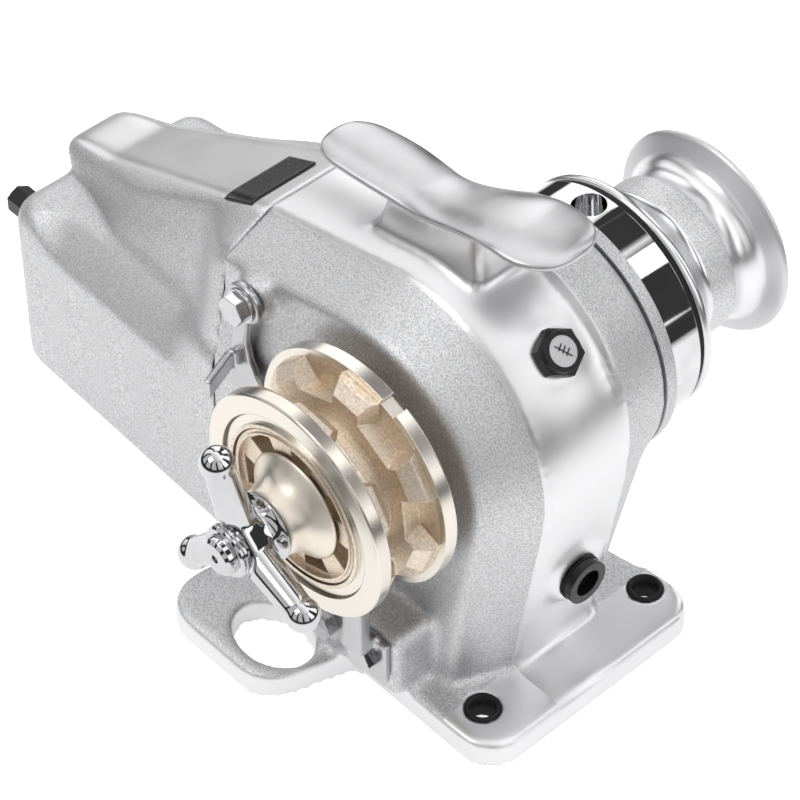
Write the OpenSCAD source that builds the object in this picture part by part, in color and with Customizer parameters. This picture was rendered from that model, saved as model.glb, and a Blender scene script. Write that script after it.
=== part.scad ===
// Anchor windlass with a horizontal shaft: chain wheel on one side, rope drum
// on the other, worm gear and motor behind. Millimetres. Z is up, the shaft
// runs along Y, the nose points along +X. The deck face is at Z = 0.

/* [Base plate] */
// Thickness of the base plate
base_t = 14; // [10:0.5:18]
// Front edge of the base plate, from the shaft
base_front_x = 84.5; // [80:0.5:92]
// Edge of the base plate on the chain side, from the middle
base_half_w = 71; // [68:0.5:74]
// Edge of the base plate on the drum side, from the middle
base_far_w = 64; // [62:0.5:68]
// Corner radius of the base plate, chain side
base_corner_r = 20; // [14:1:24]
// Corner radius of the base plate, drum side
base_far_r = 17; // [12:1:20]
// Diameter of the front bolt holes
bolt_hole_d = 16; // [10:0.5:18]
// Front bolt holes, distance ahead of the shaft
bolt_x = 60; // [58:1:64]
// Front bolt holes, distance from the middle
bolt_y = 52; // [48:1:54]
// Rear stud holes, distance behind the shaft
stud_x = 88; // [82:1:92]
// Rear stud holes, distance from the middle
stud_y = 38; // [34:1:42]
// Diameter of the rear stud holes
stud_d = 12; // [8:1:14]
// Depth of the rear stud holes
stud_depth = 24; // [16:1:25]
// Hawse hole, distance behind the shaft
hawse_x = 36; // [32:1:40]
// Hawse hole, distance to the chain side
hawse_y = 92; // [90:1:96]
// Half length of the hawse hole
hawse_a = 22; // [16:1:24]
// Half width of the hawse hole
hawse_b = 16; // [12:1:18]

/* [Gear case] */
// Height of the shaft over the deck
shaft_h = 140; // [138:1:142]
// Radius of the rounded gear case
case_r = 80; // [79:0.5:82]
// Centre of the rounded gear case, behind the shaft
case_cx = 10.5; // [9:0.5:12]
// Centre of the rounded gear case, over the deck
case_cz = 128; // [126:0.5:130]
// Front of the gear case where it meets the deck plane
case_foot_x = 51; // [47:1:54]
// Rear face of the gear case
case_rear_x = 107; // [104:1:110]
// Polished belt, edge on the chain side
belt_near_y = 26; // [25:0.5:28]
// Polished belt, edge on the drum side
belt_far_y = 24; // [22:1:28]
// How far the chain side flank stands out
flank_y = 54; // [52:1:56]
// How much the flank narrows
flank_inset = 13; // [10:1:16]
// Radius of the neck beside the belt
neck_r1 = 68; // [67:0.5:69]
// Radius of the neck at the lever ring
neck_r2 = 64.5; // [64.2:0.1:66]
// Far end of the neck
neck_y = 52; // [50:1:53]
// Radius of the gear chamber
chamber_r = 55.2; // [55:0.1:56]
// Radius of the oil plug boss
plug_boss_r = 15; // [13:0.5:17]

/* [Mooring horn] */
// Rear end of the horn, behind the shaft
horn_rear_x = 97; // [92:1:100]
// Front end of the horn, ahead of the shaft
horn_front_x = 46; // [42:1:50]
// Height of the rear lobe
horn_rear_z = 220.5; // [218:0.5:223]
// Height of the front lobe
horn_front_z = 241.5; // [238:0.5:244]
// Half width of the rear lobe and the waist
horn_rear_w = 15.6; // [14:0.2:17]
// Half width of the front lobe
horn_front_w = 23.4; // [20:0.2:25]
// Half thickness of the horn
horn_half_t = 6; // [5:0.25:7]
// Sideways place of the horn
horn_y = 5; // [2:1:8]

/* [Motor cover] */
// Length of the motor cover
cover_len = 156.6; // [150:0.2:165]
// Half width of the motor cover at the gear case
cover_half_w = 63; // [61:0.5:65]
// Half width of the motor cover at the rear
cover_rear_w = 59.5; // [58:0.5:61]
// Wall of the motor cover
cover_wall = 5; // [3.5:0.5:6]
// Height of the shoulders at the gear case
shoulder_z = 122; // [118:1:124]
// Height of the shoulders at the rear
rear_shoulder_z = 111; // [109:1:114]
// Top of the cover at the gear case
cover_top_front = 187; // [184:0.5:188]
// Top of the cover at the rear
cover_top_rear = 121.5; // [119:0.5:126]
// Half width of the flat top at the gear case
cover_top_half = 25; // [22:0.5:27]
// Half width of the flat top at the rear
rear_top_half = 20.3; // [18:0.1:23]

/* [Worm gear] */
// Gear module
gear_m = 3; // [3:0.05:3.02]
// Teeth on the worm wheel
wheel_teeth = 34; // [34:1:34]
// Pitch radius of the worm
worm_r = 14; // [13.8:0.1:14.2]
// Face width of the worm wheel
wheel_w = 20; // [14:1:24]
// Length of the worm thread
worm_len = 46; // [36:1:48]
// Backlash on each tooth side
tooth_gap = 0.45; // [0.3:0.05:0.6]

/* [Shaft] */
// Diameter of the main shaft
shaft_d = 20; // [19:0.5:21]
// Diameter of the threaded end
thread_d = 18; // [16:0.5:18]
// Shaft end on the chain side
tip_y = 151.5; // [148:0.5:156]
// Bore clearance, radial
fit_gap = 0.05; // [0.02:0.01:0.1]
// Width of the keys
key_w = 6; // [4:0.5:7]

/* [Chain wheel] */
// Number of link pockets
pockets = 7; // [6:1:8]
// Radius of the outer flange
gypsy_r_out = 54.5; // [53:0.5:56]
// Radius of the inner flange
gypsy_r_in = 57.6; // [56:0.2:59]
// Outer face of the chain wheel
gypsy_y_out = 108.5; // [107:0.5:110]
// Inner face of the chain wheel
gypsy_y_in = 67.5; // [66.5:0.5:68.5]
// Thickness of the flanges
flange_t = 6.5; // [5.5:0.5:7]
// Width of the groove for the upright links
groove_w = 11; // [9.5:0.5:12]
// Distance from the axis to the pocket floor
pocket_floor = 41; // [39:0.5:43]

/* [Clutch] */
// Gap between a cone and its seat
cone_gap = 0.3; // [0.25:0.05:0.4]
// Radius to the end of a handle arm
arm_reach = 45; // [40:1:48]
// Turn of the handle as seen in the picture
arm_turn = 101; // [0:1:119]

/* [Drum side] */
// Radius of the lever ring
ring_r = 58.5; // [57:0.5:60]
// Width of the lever ring
ring_w = 19.3; // [16:0.1:19.5]
// Lever socket diameter
socket_d = 16; // [12:0.5:17]
// Lever socket depth
socket_depth = 20; // [12:1:22]
// Radius of the drum beside the ring
drum_lip_r = 58; // [54:0.5:59]
// Radius of the drum waist
drum_waist_r = 40; // [36:0.5:43]
// Radius of the drum flange
drum_flange_r = 51.7; // [48:0.5:56]
// Outer end of the drum
drum_end_y = 144; // [140:0.5:146]

/* [Hidden] */
$fn = 72;
eps = 0.01;
silver = [0.82, 0.83, 0.84];
casting = [0.72, 0.73, 0.74];
steel = [0.6, 0.61, 0.63];
chromed = [0.9, 0.91, 0.93];
bronze = [0.8, 0.66, 0.45];
black = [0.08, 0.08, 0.09];
copper = [0.72, 0.42, 0.25];
shaft_r = shaft_d / 2;
bore_r = shaft_r + fit_gap;
wheel_r = gear_m * wheel_teeth / 2;
worm_z = shaft_h - wheel_r - worm_r;
lead = PI * gear_m;
cover_x0 = case_rear_x + 0.4;
cover_x1 = cover_x0 + cover_len;
ring_y = neck_y + 8.3;
drum_y = ring_y + ring_w + 2.4;
bearing_r = 23.5;
bearing_w = 14;
seal_r = 17.5;
motor_r = 36;
motor_flange_r = 40;
motor_len = cover_len - 28.6;
motor_x1 = case_rear_x + motor_len;
cover_screw_at = [[38, 30], [-38, 30], [42, 96]];
stripper_bolt_x = [-10, 16];
stripper_bolt_z = 37;
plug_y = 2;
plug_z = 64;
plug_face_x = case_r - 15.5;
gland_y = -44;
gland_z = 94;
pocket_turn = -6.63;
worm_bearing_r = 17.5;
sleeve_r = 32;
arm_tilt = 15;

// Shapes about the shaft: local Z runs along +Y
module on_shaft(y) {
  translate([0, y, shaft_h]) rotate([-90, 0, 0]) children();
}

// A flat outline in X and Z, given thickness from y0 to y1
module side_slab(y0, y1) {
  translate([0, y1, 0]) rotate([90, 0, 0])
    linear_extrude(height = y1 - y0) children();
}

// Shapes about the motor axis: local Z runs along +X
module on_motor(x) {
  translate([x, 0, worm_z]) rotate([0, 90, 0]) children();
}

function polar(r, a) = [r * cos(a), r * sin(a)];
function on_case(r, a) = [-case_cx + r * cos(a), case_cz + r * sin(a)];
function ellipse_points(a, b, n) =
  [for (i = [0:n - 1]) [a * cos(360 * i / n), b * sin(360 * i / n)]];

module tube(r1, r2, h) {
  difference() {
    cylinder(r = r1, h = h);
    translate([0, 0, -eps]) cylinder(r = r2, h = h + 2 * eps);
  }
}

module hex(af, h) {
  cylinder(d = af / cos(30), h = h, $fn = 6);
}

// Side outline of the gear case, drawn in by i
module case_outline(i = 0) {
  union() {
    translate([-case_cx, case_cz]) circle(r = case_r - i);
    polygon([[-case_rear_x, 1], [case_foot_x - i, 1],
             on_case(case_r - i, -9.5), [-case_cx, case_cz],
             on_case(case_r - i, 102.5),
             [-case_rear_x, case_cz + 60.5 - i]]);
  }
}

module rounded_rect(x0, y0, x1, y1, r) {
  hull() for (x = [x0 + r, x1 - r], y = [y0 + r, y1 - r])
    translate([x, y]) circle(r = r);
}

// Points of an arc
function arc_points(c, r, a0, a1, n) =
  [for (i = [0:n]) [c[0] + r * cos(a0 + (a1 - a0) * i / n),
                    c[1] + r * sin(a0 + (a1 - a0) * i / n)]];

// Flat outline of the base plate with the lobe round the hawse hole
module base_outline() {
  near = [base_front_x - base_corner_r, -base_half_w + base_corner_r];
  far = [base_front_x - base_far_r, base_far_w - base_far_r];
  side_y = base_far_w - 6.8;
  fillet = [3.2, -base_half_w - 8];
  translate(near) circle(r = base_corner_r);
  translate(far) circle(r = base_far_r);
  polygon([[-case_rear_x, -63], [-60, -63], [-60, -base_half_w],
           [near[0], -base_half_w], [base_front_x, near[1]],
           [base_front_x, far[1]], far + base_far_r * [-sin(10), cos(10)],
           [27.5, side_y], [-case_rear_x, side_y]]);
  hull() {
    translate([-hawse_x - 32, -hawse_y - 3]) circle(r = 22);
    translate([-hawse_x + 3, -hawse_y - 3]) circle(r = 22);
    translate([-hawse_x - 20, -46]) circle(r = 22);
    translate([-hawse_x + 18, -46]) circle(r = 22);
  }
  polygon(concat([[-10, -base_half_w + 1]],
                 arc_points(fillet, 8, 163, 90, 6),
                 [[3.2, -base_half_w + 1]]));
}

module base_plate() {
  difference() {
    linear_extrude(height = base_t) base_outline();
    translate([-hawse_x, -hawse_y, -1]) linear_extrude(height = base_t + 2)
      polygon(ellipse_points(hawse_a, hawse_b, 64));
    for (s = [-1, 1]) translate([bolt_x, s * bolt_y, -1])
      cylinder(d = bolt_hole_d, h = base_t + 2);
  }
}

// Smooth step from 0 to 1 between a and b
function ease(x, a, b) =
  let (t = max(0, min(1, (x - a) / (b - a)))) t * t * (3 - 2 * t);
// Rounding of the horn at its two ends, 1 in between
function horn_end(x) =
  let (d = x < -75 ? (-75 - x) / (horn_rear_x - 75)
         : x > 12 ? (x - 12) / (horn_front_x - 12) : 0)
    pow(1 - pow(min(d, 0.9999), 2.5), 0.4);
function horn_half(x) =
  horn_rear_w + (horn_front_w - horn_rear_w) * ease(x, -30, 10);
function horn_mid(x) =
  horn_rear_z + (horn_front_z - horn_rear_z) * ease(x, -42, 24);

// Saddle of the horn: flat oval sections along a rising line
module horn_saddle(n = 30, m = 24) {
  len = horn_rear_x + horn_front_x;
  points = [for (i = [1:n - 1]) let (
      x = -horn_rear_x + len * (1 - cos(180 * i / n)) / 2, e = horn_end(x))
    for (j = [0:m - 1]) [x, horn_y + horn_half(x) * e * cos(360 * j / m),
      horn_mid(x) + horn_half_t * e * sin(360 * j / m)]];
  rings = n - 1;
  polyhedron(points = points, faces = concat(
    [[for (j = [0:m - 1]) j]],
    [[for (j = [0:m - 1]) rings * m - 1 - j]],
    [for (i = [0:rings - 2], j = [0:m - 1], k = [0, 1])
      let (a = i * m + j, b = i * m + (j + 1) % m)
        k == 0 ? [a, a + m, b] : [b, a + m, b + m]]));
}

module mooring_horn() {
  horn_saddle();
  hull() {
    translate([-52, horn_y - 10, 217]) cube([10, 20, 4]);
    translate([-8, horn_y - 12, horn_front_z - 13]) cube([12, 24, 4]);
    translate([-60, horn_y - 17, 187]) cube([70, 34, 6]);
  }
}

module main_housing() {
  color(silver) difference() {
    union() {
      base_plate();
      side_slab(-belt_near_y, belt_far_y) case_outline();
      hull() {
        side_slab(-belt_near_y, -belt_near_y + 1) case_outline(1.5);
        side_slab(-flank_y, -flank_y + 1) case_outline(flank_inset);
      }
      on_shaft(belt_far_y - 1)
        cylinder(r1 = neck_r1, r2 = neck_r2, h = neck_y - belt_far_y + 1);
      hull() {
        side_slab(belt_far_y - 1, belt_far_y)
          polygon([[-case_rear_x, 1], [case_foot_x - 2, 1],
                   on_case(case_r - 2, -9.5), [-case_rear_x, 110]]);
        on_shaft(neck_y - 8) cylinder(r = neck_r2 - 2, h = 4);
        translate([-case_rear_x, 0, 1]) cube([20, neck_y - 0.5, 150]);
      }
      hull() {
        translate([-case_rear_x, 0, 0]) rotate([90, 0, 90])
          linear_extrude(height = 3) cover_outline();
        translate([-60, -flank_y + 1, 1.5]) cube([1, 60, 170]);
        translate([-72, 0, 1.5]) cube([1, neck_y - 2, 146]);
      }
      mooring_horn();
      on_shaft(-flank_y - 10) cylinder(r = 30, h = 12);
      translate([-82, -flank_y - 6, 171]) rotate([-90, 0, 0])
        cylinder(r = 10.5, h = 14);
      translate([case_foot_x - 4, plug_y, plug_z]) rotate([0, 90, 0])
        cylinder(r = plug_boss_r, h = plug_face_x - case_foot_x + 4);
      translate([-24, -78, base_t - 1]) cube([54, 26, 37]);
      translate([-case_cx, 2, case_cz]) rotate([0, 42, 0])
        cylinder(r = 12.6, h = case_r + 0.3);
    }
    on_shaft(-34) cylinder(r = chamber_r, h = neck_y + 35);
    on_shaft(-34 - bearing_w) cylinder(r = bearing_r + fit_gap, h = 16);
    on_shaft(-flank_y - 4) cylinder(r = shaft_r + 2, h = 13);
    on_shaft(-flank_y - 11) cylinder(r = seal_r, h = 8);
    on_motor(-case_rear_x - 1) cylinder(r = motor_flange_r + 0.1, h = 13);
    on_motor(-case_rear_x) cylinder(r = worm_bearing_r + fit_gap, h = 137);
    on_motor(29) cylinder(r = 14 + fit_gap, h = 9);
    translate([-60, -14, 42]) cube([90, 28, 30]);
    translate([37.5, plug_y, plug_z]) rotate([0, 90, 0])
      cylinder(r = 8, h = 40);
    translate([-case_cx, 2, case_cz]) rotate([0, 42, 0])
      cylinder(r = 7, h = case_r + 5);
    for (s = [-1, 1]) translate([-stud_x, s * stud_y, -1])
      cylinder(d = stud_d, h = stud_depth + 1);
    translate([-82, -flank_y - 7, 171]) rotate([-90, 0, 0])
      cylinder(r = 4.1, h = 19);
    for (x = stripper_bolt_x) translate([x, -79, stripper_bolt_z])
      rotate([-90, 0, 0]) cylinder(r = 4.1, h = 19);
    for (a = [0:60:359]) on_shaft(neck_y - 12) rotate(a + 30)
      translate([59.6, 0, 0]) cylinder(r = 2, h = 14);
    for (p = cover_screw_at) translate([-case_rear_x - 1, p[0], p[1]])
      rotate([0, 90, 0]) cylinder(r = 2.55, h = 15);
  }
}

// Raised middle of the cover where it meets the gear case, drawn in by i
module ridge_outline(i = 0) {
  h = cover_top_half - i / 2;
  polygon([[-60 + i, 60], [60 - i, 60], [60 - i, shoulder_z - 2 - i],
           [52 - i, cover_top_front - 19], [48 - i, cover_top_front - 11 - i],
           [h, cover_top_front - i], [-h, cover_top_front - i],
           [-48 + i, cover_top_front - 11 - i], [-52 + i, cover_top_front - 19],
           [-60 + i, shoulder_z - 2 - i]]);
}

// Front outline of the motor cover in Y and Z, drawn in by i
module cover_outline(i = 0) {
  w = cover_half_w - i;
  rounded_rect(-w, 1.5 + i, w, shoulder_z - i, 9 - i / 2);
  ridge_outline(i);
}

// Outer form of the motor cover
module cover_form() {
  r = 14;
  hull() {
    translate([-cover_x0, 0, 0]) rotate([90, 0, -90]) linear_extrude(height = 1)
      rounded_rect(-cover_half_w, 1.5, cover_half_w, shoulder_z, 9);
    for (s = [-1, 1], z = [1.5 + r, rear_shoulder_z - r])
      translate([-cover_x1 + r, s * (cover_rear_w - r), z])
        sphere(r = r, $fn = 40);
  }
  hull() {
    translate([-cover_x0, 0, 0]) rotate([90, 0, -90])
      linear_extrude(height = 1) ridge_outline();
    for (s = [-1, 1]) {
      translate([-cover_x1 + 11, s * (rear_top_half - 8), cover_top_rear - 8])
        sphere(r = 8, $fn = 40);
      translate([-cover_x1 + 12, s * 23, 90]) sphere(r = 10, $fn = 40);
    }
  }
}

// Inside of the cover: a tapered box and a channel below the flat top
module cover_hollow() {
  i = cover_wall;
  h = rear_top_half - i / 2;
  hull() {
    translate([-cover_x0 + 2, 0, 0]) rotate([90, 0, -90])
      linear_extrude(height = 1)
        translate([-cover_half_w + i, 1.5 + i])
          square([2 * (cover_half_w - i), shoulder_z - 2 * i - 1.5]);
    translate([-cover_x1 + 9, -cover_rear_w + i + 1.5, 1.5 + i])
      cube([1, 2 * (cover_rear_w - i - 1.5), rear_shoulder_z - 2 * i - 1.5]);
  }
  hull() {
    translate([-cover_x0 + 2, 0, 0]) rotate([90, 0, -90])
      linear_extrude(height = 1) ridge_outline(i);
    translate([-cover_x1 + 10, 0, 0]) rotate([90, 0, -90])
      linear_extrude(height = 1)
        polygon([[-26, 60], [26, 60], [26, 98], [h, cover_top_rear - i],
                 [-h, cover_top_rear - i], [-26, 98]]);
  }
}

module motor_cover() {
  color(silver) difference() {
    union() {
      difference() {
        cover_form();
        cover_hollow();
      }
      for (p = cover_screw_at) translate([-cover_x1 + 3, p[0], p[1]])
        rotate([0, 90, 0]) cylinder(r = 6.2, h = cover_len - 4);
    }
    for (p = cover_screw_at) {
      translate([-cover_x1 - 1, p[0], p[1]]) rotate([0, 90, 0])
        cylinder(r = 3.3, h = cover_len + 4);
      translate([-cover_x1 - 1, p[0], p[1]]) rotate([0, 90, 0])
        cylinder(r = 5.6, h = 12);
    }
    translate([-cover_x1 - 1, gland_y, gland_z]) rotate([0, 90, 0])
      cylinder(r = 5, h = 24);
  }
}

module cover_gasket() {
  color(black) translate([-case_rear_x - 0.03, 0, 0])
    rotate([90, 0, -90]) difference() {
      linear_extrude(height = 0.34) cover_outline(0.6);
      translate([0, 0, -1]) linear_extrude(height = 3)
        cover_outline(cover_wall - 0.4);
    }
}

module cover_screws() {
  color(steel) for (p = cover_screw_at)
    translate([-cover_x1 + 10.9, p[0], p[1]]) rotate([0, 90, 0])
      difference() {
        union() {
          translate([0, 0, -6]) cylinder(r = 5, h = 6);
          cylinder(r = 2.5, h = cover_x1 - case_rear_x + 1);
        }
        translate([0, 0, -7]) hex(5, 4);
      }
}

module bearing_cover() {
  color(silver) difference() {
    union() {
      on_shaft(neck_y + 0.02) cylinder(r = neck_r2 - 0.5, h = 6);
      on_shaft(neck_y - 6) tube(chamber_r - fit_gap, chamber_r - 4, 6.5);
      on_shaft(35) cylinder(r = 29, h = neck_y - 30);
      on_shaft(neck_y + 5) cylinder(r = sleeve_r, h = ring_w + 2.8);
    }
    on_shaft(34) cylinder(r = bearing_r + fit_gap, h = bearing_w + 2);
    on_shaft(34) cylinder(r = shaft_r + 2, h = 60);
    on_shaft(50.4) cylinder(r = seal_r + fit_gap, h = 8);
    for (a = [0:60:359]) on_shaft(neck_y - 1) rotate(a + 30)
      translate([59.6, 0, 0]) {
        cylinder(r = 2.2, h = 10);
        translate([0, 0, 3.4]) cylinder(r = 3.7, h = 10);
      }
  }
}

module bearing_cover_screws() {
  color(steel) for (a = [0:60:359]) on_shaft(neck_y - 7) rotate(a + 30)
    translate([59.6, 0, 0]) difference() {
      union() {
        cylinder(r = 1.95, h = 10);
        translate([0, 0, 9.5]) cylinder(r = 3.4, h = 3.2);
      }
      translate([0, 0, 11]) hex(2.5, 3);
    }
}

// A ball bearing along local Z: two rings, shields and ball row in one
module bearing(r_in, r_out, w) {
  mid = (r_in + r_out) / 2;
  rotate_extrude() difference() {
    translate([r_in, 0]) square([r_out - r_in, w]);
    translate([mid - 2.2, -1]) square([4.4, 1.6]);
    translate([mid - 2.2, w - 0.6]) square([4.4, 2]);
  }
}

module shaft_bearings() {
  color(steel) {
    on_shaft(-34 - bearing_w + 0.03) bearing(bore_r, bearing_r, bearing_w - 0.1);
    on_shaft(36.05) bearing(bore_r, bearing_r, bearing_w - 0.1);
  }
}

// Lip seal: outer shell with a lip that just clears the shaft
module lip_seal() {
  rotate_extrude() polygon([[seal_r - 0.04, 0], [seal_r - 0.04, 6.8],
    [shaft_r + 1, 6.8], [bore_r + 0.05, 4.5], [bore_r + 0.05, 3.5],
    [shaft_r + 3, 2.6], [shaft_r + 4.5, 5], [seal_r - 2, 5], [seal_r - 2, 0]]);
}

module near_shaft_seal() {
  color(black) on_shaft(-flank_y - 9.9) lip_seal();
}

module far_shaft_seal() {
  color(black) on_shaft(50.6) lip_seal();
}

module key_bar(y0, len, extra = 0) {
  translate([-key_w / 2 - extra, y0, shaft_h + shaft_r - 3.5])
    cube([key_w + 2 * extra, len, 6 + extra]);
}

module main_shaft() {
  color(steel) difference() {
    union() {
      on_shaft(-tip_y + 1.5) cylinder(d = thread_d, h = tip_y - 120);
      on_shaft(-tip_y) cylinder(r1 = thread_d / 2 - 1.5, r2 = thread_d / 2,
                                h = 1.5);
      on_shaft(-122) cylinder(r = shaft_r, h = 253);
      on_shaft(-33.9) cylinder(r = 13.5, h = 19.8);
      on_shaft(130) cylinder(d = thread_d, h = 15);
    }
    on_shaft(-tip_y - 1) cylinder(r = 2, h = 4);
    key_bar(-10, 20, 0.02);
    key_bar(90, 30, 0.02);
    key_bar(-81, 12, 0.02);
    key_bar(-116, 12, 0.02);
  }
}

module wheel_key() {
  color(steel) key_bar(-9.95, 19.9);
}

module drum_key() {
  color(steel) key_bar(90.05, 29.9);
}

module clutch_key() {
  color(steel) {
    key_bar(-80.95, 11.9);
    key_bar(-115.95, 11.9);
  }
}

// Tooth outline of the worm wheel
function wheel_points() =
  let (tp = PI * gear_m / 2 - tooth_gap, deg = 180 / PI,
       r0 = wheel_r - 3.5, r1 = wheel_r + 2.6)
  [for (i = [0:wheel_teeth - 1]) for (p = [
    [r0, -(tp / 2 + 1.25) / r0], [r1, -(tp / 2 - 0.95) / r1],
    [r1, (tp / 2 - 0.95) / r1], [r0, (tp / 2 + 1.25) / r0]])
    polar(p[0], 360 * i / wheel_teeth + p[1] * deg)];

module worm_wheel() {
  helix = wheel_w * lead / (2 * PI * worm_r) / wheel_r * 180 / PI;
  color(bronze) difference() {
    union() {
      on_shaft(-wheel_w / 2) rotate(-helix / 2)
        linear_extrude(height = wheel_w, twist = -helix, slices = 2)
          polygon(wheel_points());
      on_shaft(-14) cylinder(r = 19, h = 49.9);
    }
    on_shaft(-15) cylinder(r = bore_r, h = 60);
    key_bar(-16, 55, 0.03);
    for (s = [-1, 1]) on_shaft(s * (wheel_w / 2 - 1) - 3)
      tube(wheel_r - 8, 24, 6);
    for (a = [0:60:359]) on_shaft(-20) rotate(a)
      translate([33.5, 0, 0]) cylinder(r = 6, h = 40);
  }
}

// Section of a single start worm, square to its axis
function worm_points() =
  let (half = PI * gear_m / 2 / 2 - tooth_gap / 2,
       a1 = 360 * (half - 0.95) / lead, a2 = 360 * (half + 1.25) / lead,
       r1 = worm_r + 2.6, r0 = worm_r - 3.5)
  concat([for (i = [0:6]) polar(r1, -a1 + 2 * a1 * i / 6)],
         [for (i = [1:4]) polar(r1 + (r0 - r1) * i / 4,
                                a1 + (a2 - a1) * i / 4)],
         [for (i = [1:5]) polar(r0, a2 + (360 - 2 * a2) * i / 6)],
         [for (i = [0:3]) polar(r0 + (r1 - r0) * i / 4,
                                360 - a2 + (a2 - a1) * i / 4)]);

module worm() {
  color(steel) {
    on_motor(-worm_len / 2) rotate(180 - 180 * worm_len / lead)
      linear_extrude(height = worm_len, twist = -360 * worm_len / lead,
                     slices = 66, $fn = 16) polygon(worm_points());
    on_motor(-case_rear_x + 12) cylinder(r = 7.5, h = case_rear_x - 34);
    on_motor(worm_len / 2 - 1) cylinder(r = 6, h = 15);
  }
}

module worm_rear_bearing() {
  color(steel) on_motor(-52) bearing(7.5 + fit_gap, worm_bearing_r, 11);
}

module worm_front_bearing() {
  color(steel) on_motor(29.5) bearing(6 + fit_gap, 14, 8);
}

module motor_flange() {
  color(casting) difference() {
    on_motor(-case_rear_x + 0.1) cylinder(r = motor_flange_r, h = 11.8);
    on_motor(-case_rear_x - 1) cylinder(r = 9, h = 14);
    for (s = [-1, 1]) translate([-case_rear_x - 1, s * 30.3, worm_z])
      rotate([0, 90, 0]) cylinder(r = 2.1, h = 10);
  }
}

module motor_can() {
  color(steel) on_motor(-motor_x1) tube(motor_r, motor_r - 3,
                                        motor_len - 0.05);
}

module motor_end_bell() {
  color(casting) difference() {
    on_motor(-motor_x1 - 12) union() {
      cylinder(r1 = motor_r - 6, r2 = motor_r, h = 6);
      translate([0, 0, 5.9]) cylinder(r = motor_r, h = 6);
    }
    on_motor(-motor_x1 - 8) cylinder(r = 6.2, h = 10);
    for (s = [-1, 1]) translate([-motor_x1 - 13, s * 30.3, worm_z])
      rotate([0, 90, 0]) cylinder(r = 2.1, h = 14);
  }
}

module motor_bolts() {
  color(steel) for (s = [-1, 1])
    translate([-motor_x1 - 12.1, s * 30.3, worm_z]) rotate([0, 90, 0]) {
      translate([0, 0, -3]) cylinder(r = 3.6, h = 3);
      translate([0, 0, -0.5]) cylinder(r = 2, h = motor_len + 18);
    }
}

module armature() {
  color(casting) {
    on_motor(-motor_x1 + 36) linear_extrude(height = motor_len - 52) difference() {
      circle(r = 27);
      for (a = [0:30:359]) rotate(a) translate([22, -1.6]) square([6, 3.2]);
    }
    on_motor(-motor_x1 - 6) cylinder(r = 6, h = motor_len + 17.8);
  }
}

module commutator() {
  color(copper) on_motor(-motor_x1 + 8) tube(13, 6.05, 20);
}

module motor_brushes() {
  color(black) for (s = [-1, 1])
    translate([-motor_x1 + 12, s > 0 ? 13.4 : -28, worm_z - 5])
      cube([12, 14.6, 10]);
}

module cable_gland() {
  color(black) translate([-cover_x1 - 11, gland_y, gland_z])
    rotate([0, 90, 0]) {
      cylinder(r = 4.9, h = 26);
      translate([0, 0, 1]) hex(13, 9.95);
      cylinder(r = 5.6, h = 3);
    }
}

// Solid chain wheel without pockets: local Z = 0 is the outer face
module gypsy_blank() {
  w = gypsy_y_out - gypsy_y_in;
  cylinder(r1 = gypsy_r_out - 0.8, r2 = gypsy_r_out, h = 0.8);
  translate([0, 0, 0.8]) cylinder(r = gypsy_r_out, h = flange_t - 0.8);
  translate([0, 0, w - flange_t]) cylinder(r = gypsy_r_in, h = flange_t);
  translate([0, 0, 1]) rotate(180 / pockets) linear_extrude(height = w - 2)
    circle(r = pocket_floor / cos(180 / pockets), $fn = pockets);
}

// Wedge between two pockets, standing on a flange face at Z = 0
module pocket_tooth(h) {
  intersection() {
    translate([0, 15, 0]) rotate([90, 0, 0]) linear_extrude(height = 30)
      polygon([[30, -1], [30, h], [pocket_floor + 5, h],
               [gypsy_r_out - 2, h * 0.35], [gypsy_r_out - 2, -1]]);
    translate([29, 0, 0]) rotate([90, 0, 90]) linear_extrude(height = 30)
      polygon([[-12.4, -2], [12.4, -2], [7, h + 0.5], [-7, h + 0.5]]);
  }
}

module gypsy() {
  w = gypsy_y_out - gypsy_y_in;
  mid = w / 2;
  h = mid - flange_t - groove_w / 2;
  color(bronze) on_shaft(-gypsy_y_out) rotate(pocket_turn) difference() {
    union() {
      gypsy_blank();
      for (i = [0:pockets - 1]) rotate(360 * (i + 0.5) / pockets) {
        translate([0, 0, flange_t]) pocket_tooth(h + 1);
        translate([0, 0, w - flange_t]) mirror([0, 0, 1]) pocket_tooth(h + 1);
      }
    }
    for (i = [0:pockets - 1]) rotate(360 * (i + 0.5) / pockets)
      translate([0, 0, -1]) linear_extrude(height = 12)
        polygon([[21, -4.5], [33.5, -8], [33.5, 8], [21, 4.5]]);
    translate([0, 0, mid - groove_w / 2]) tube(70, 33, groove_w);
    translate([0, 0, -1]) tube(45, 40, 2.6);
    translate([0, 0, -1]) tube(38, 36, 1.8);
    translate([0, 0, -1]) tube(35, 19, 4);
    translate([0, 0, -eps]) cylinder(r1 = 15.6, r2 = 12.6, h = 10);
    translate([0, 0, 24]) cylinder(r1 = 24, r2 = 30, h = w - 24 + eps);
    translate([0, 0, -1]) cylinder(r = bore_r + 0.03, h = w + 2);
    rotate(-66.7 - pocket_turn)
      translate([54.4, -4.2, w - flange_t - 1]) cube([20, 8.4, 12]);
  }
}

module inner_cone() {
  color(steel) difference() {
    union() {
      on_shaft(-gypsy_y_out + 24.4) cylinder(r1 = 24 - cone_gap,
        r2 = 30 - cone_gap, h = gypsy_y_out - gypsy_y_in - 24.4);
      on_shaft(-gypsy_y_in - eps) cylinder(r = 30 - cone_gap, h = 2.9);
    }
    on_shaft(-gypsy_y_out) cylinder(r = bore_r, h = 60);
    key_bar(-90, 30, 0.03);
  }
}

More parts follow.
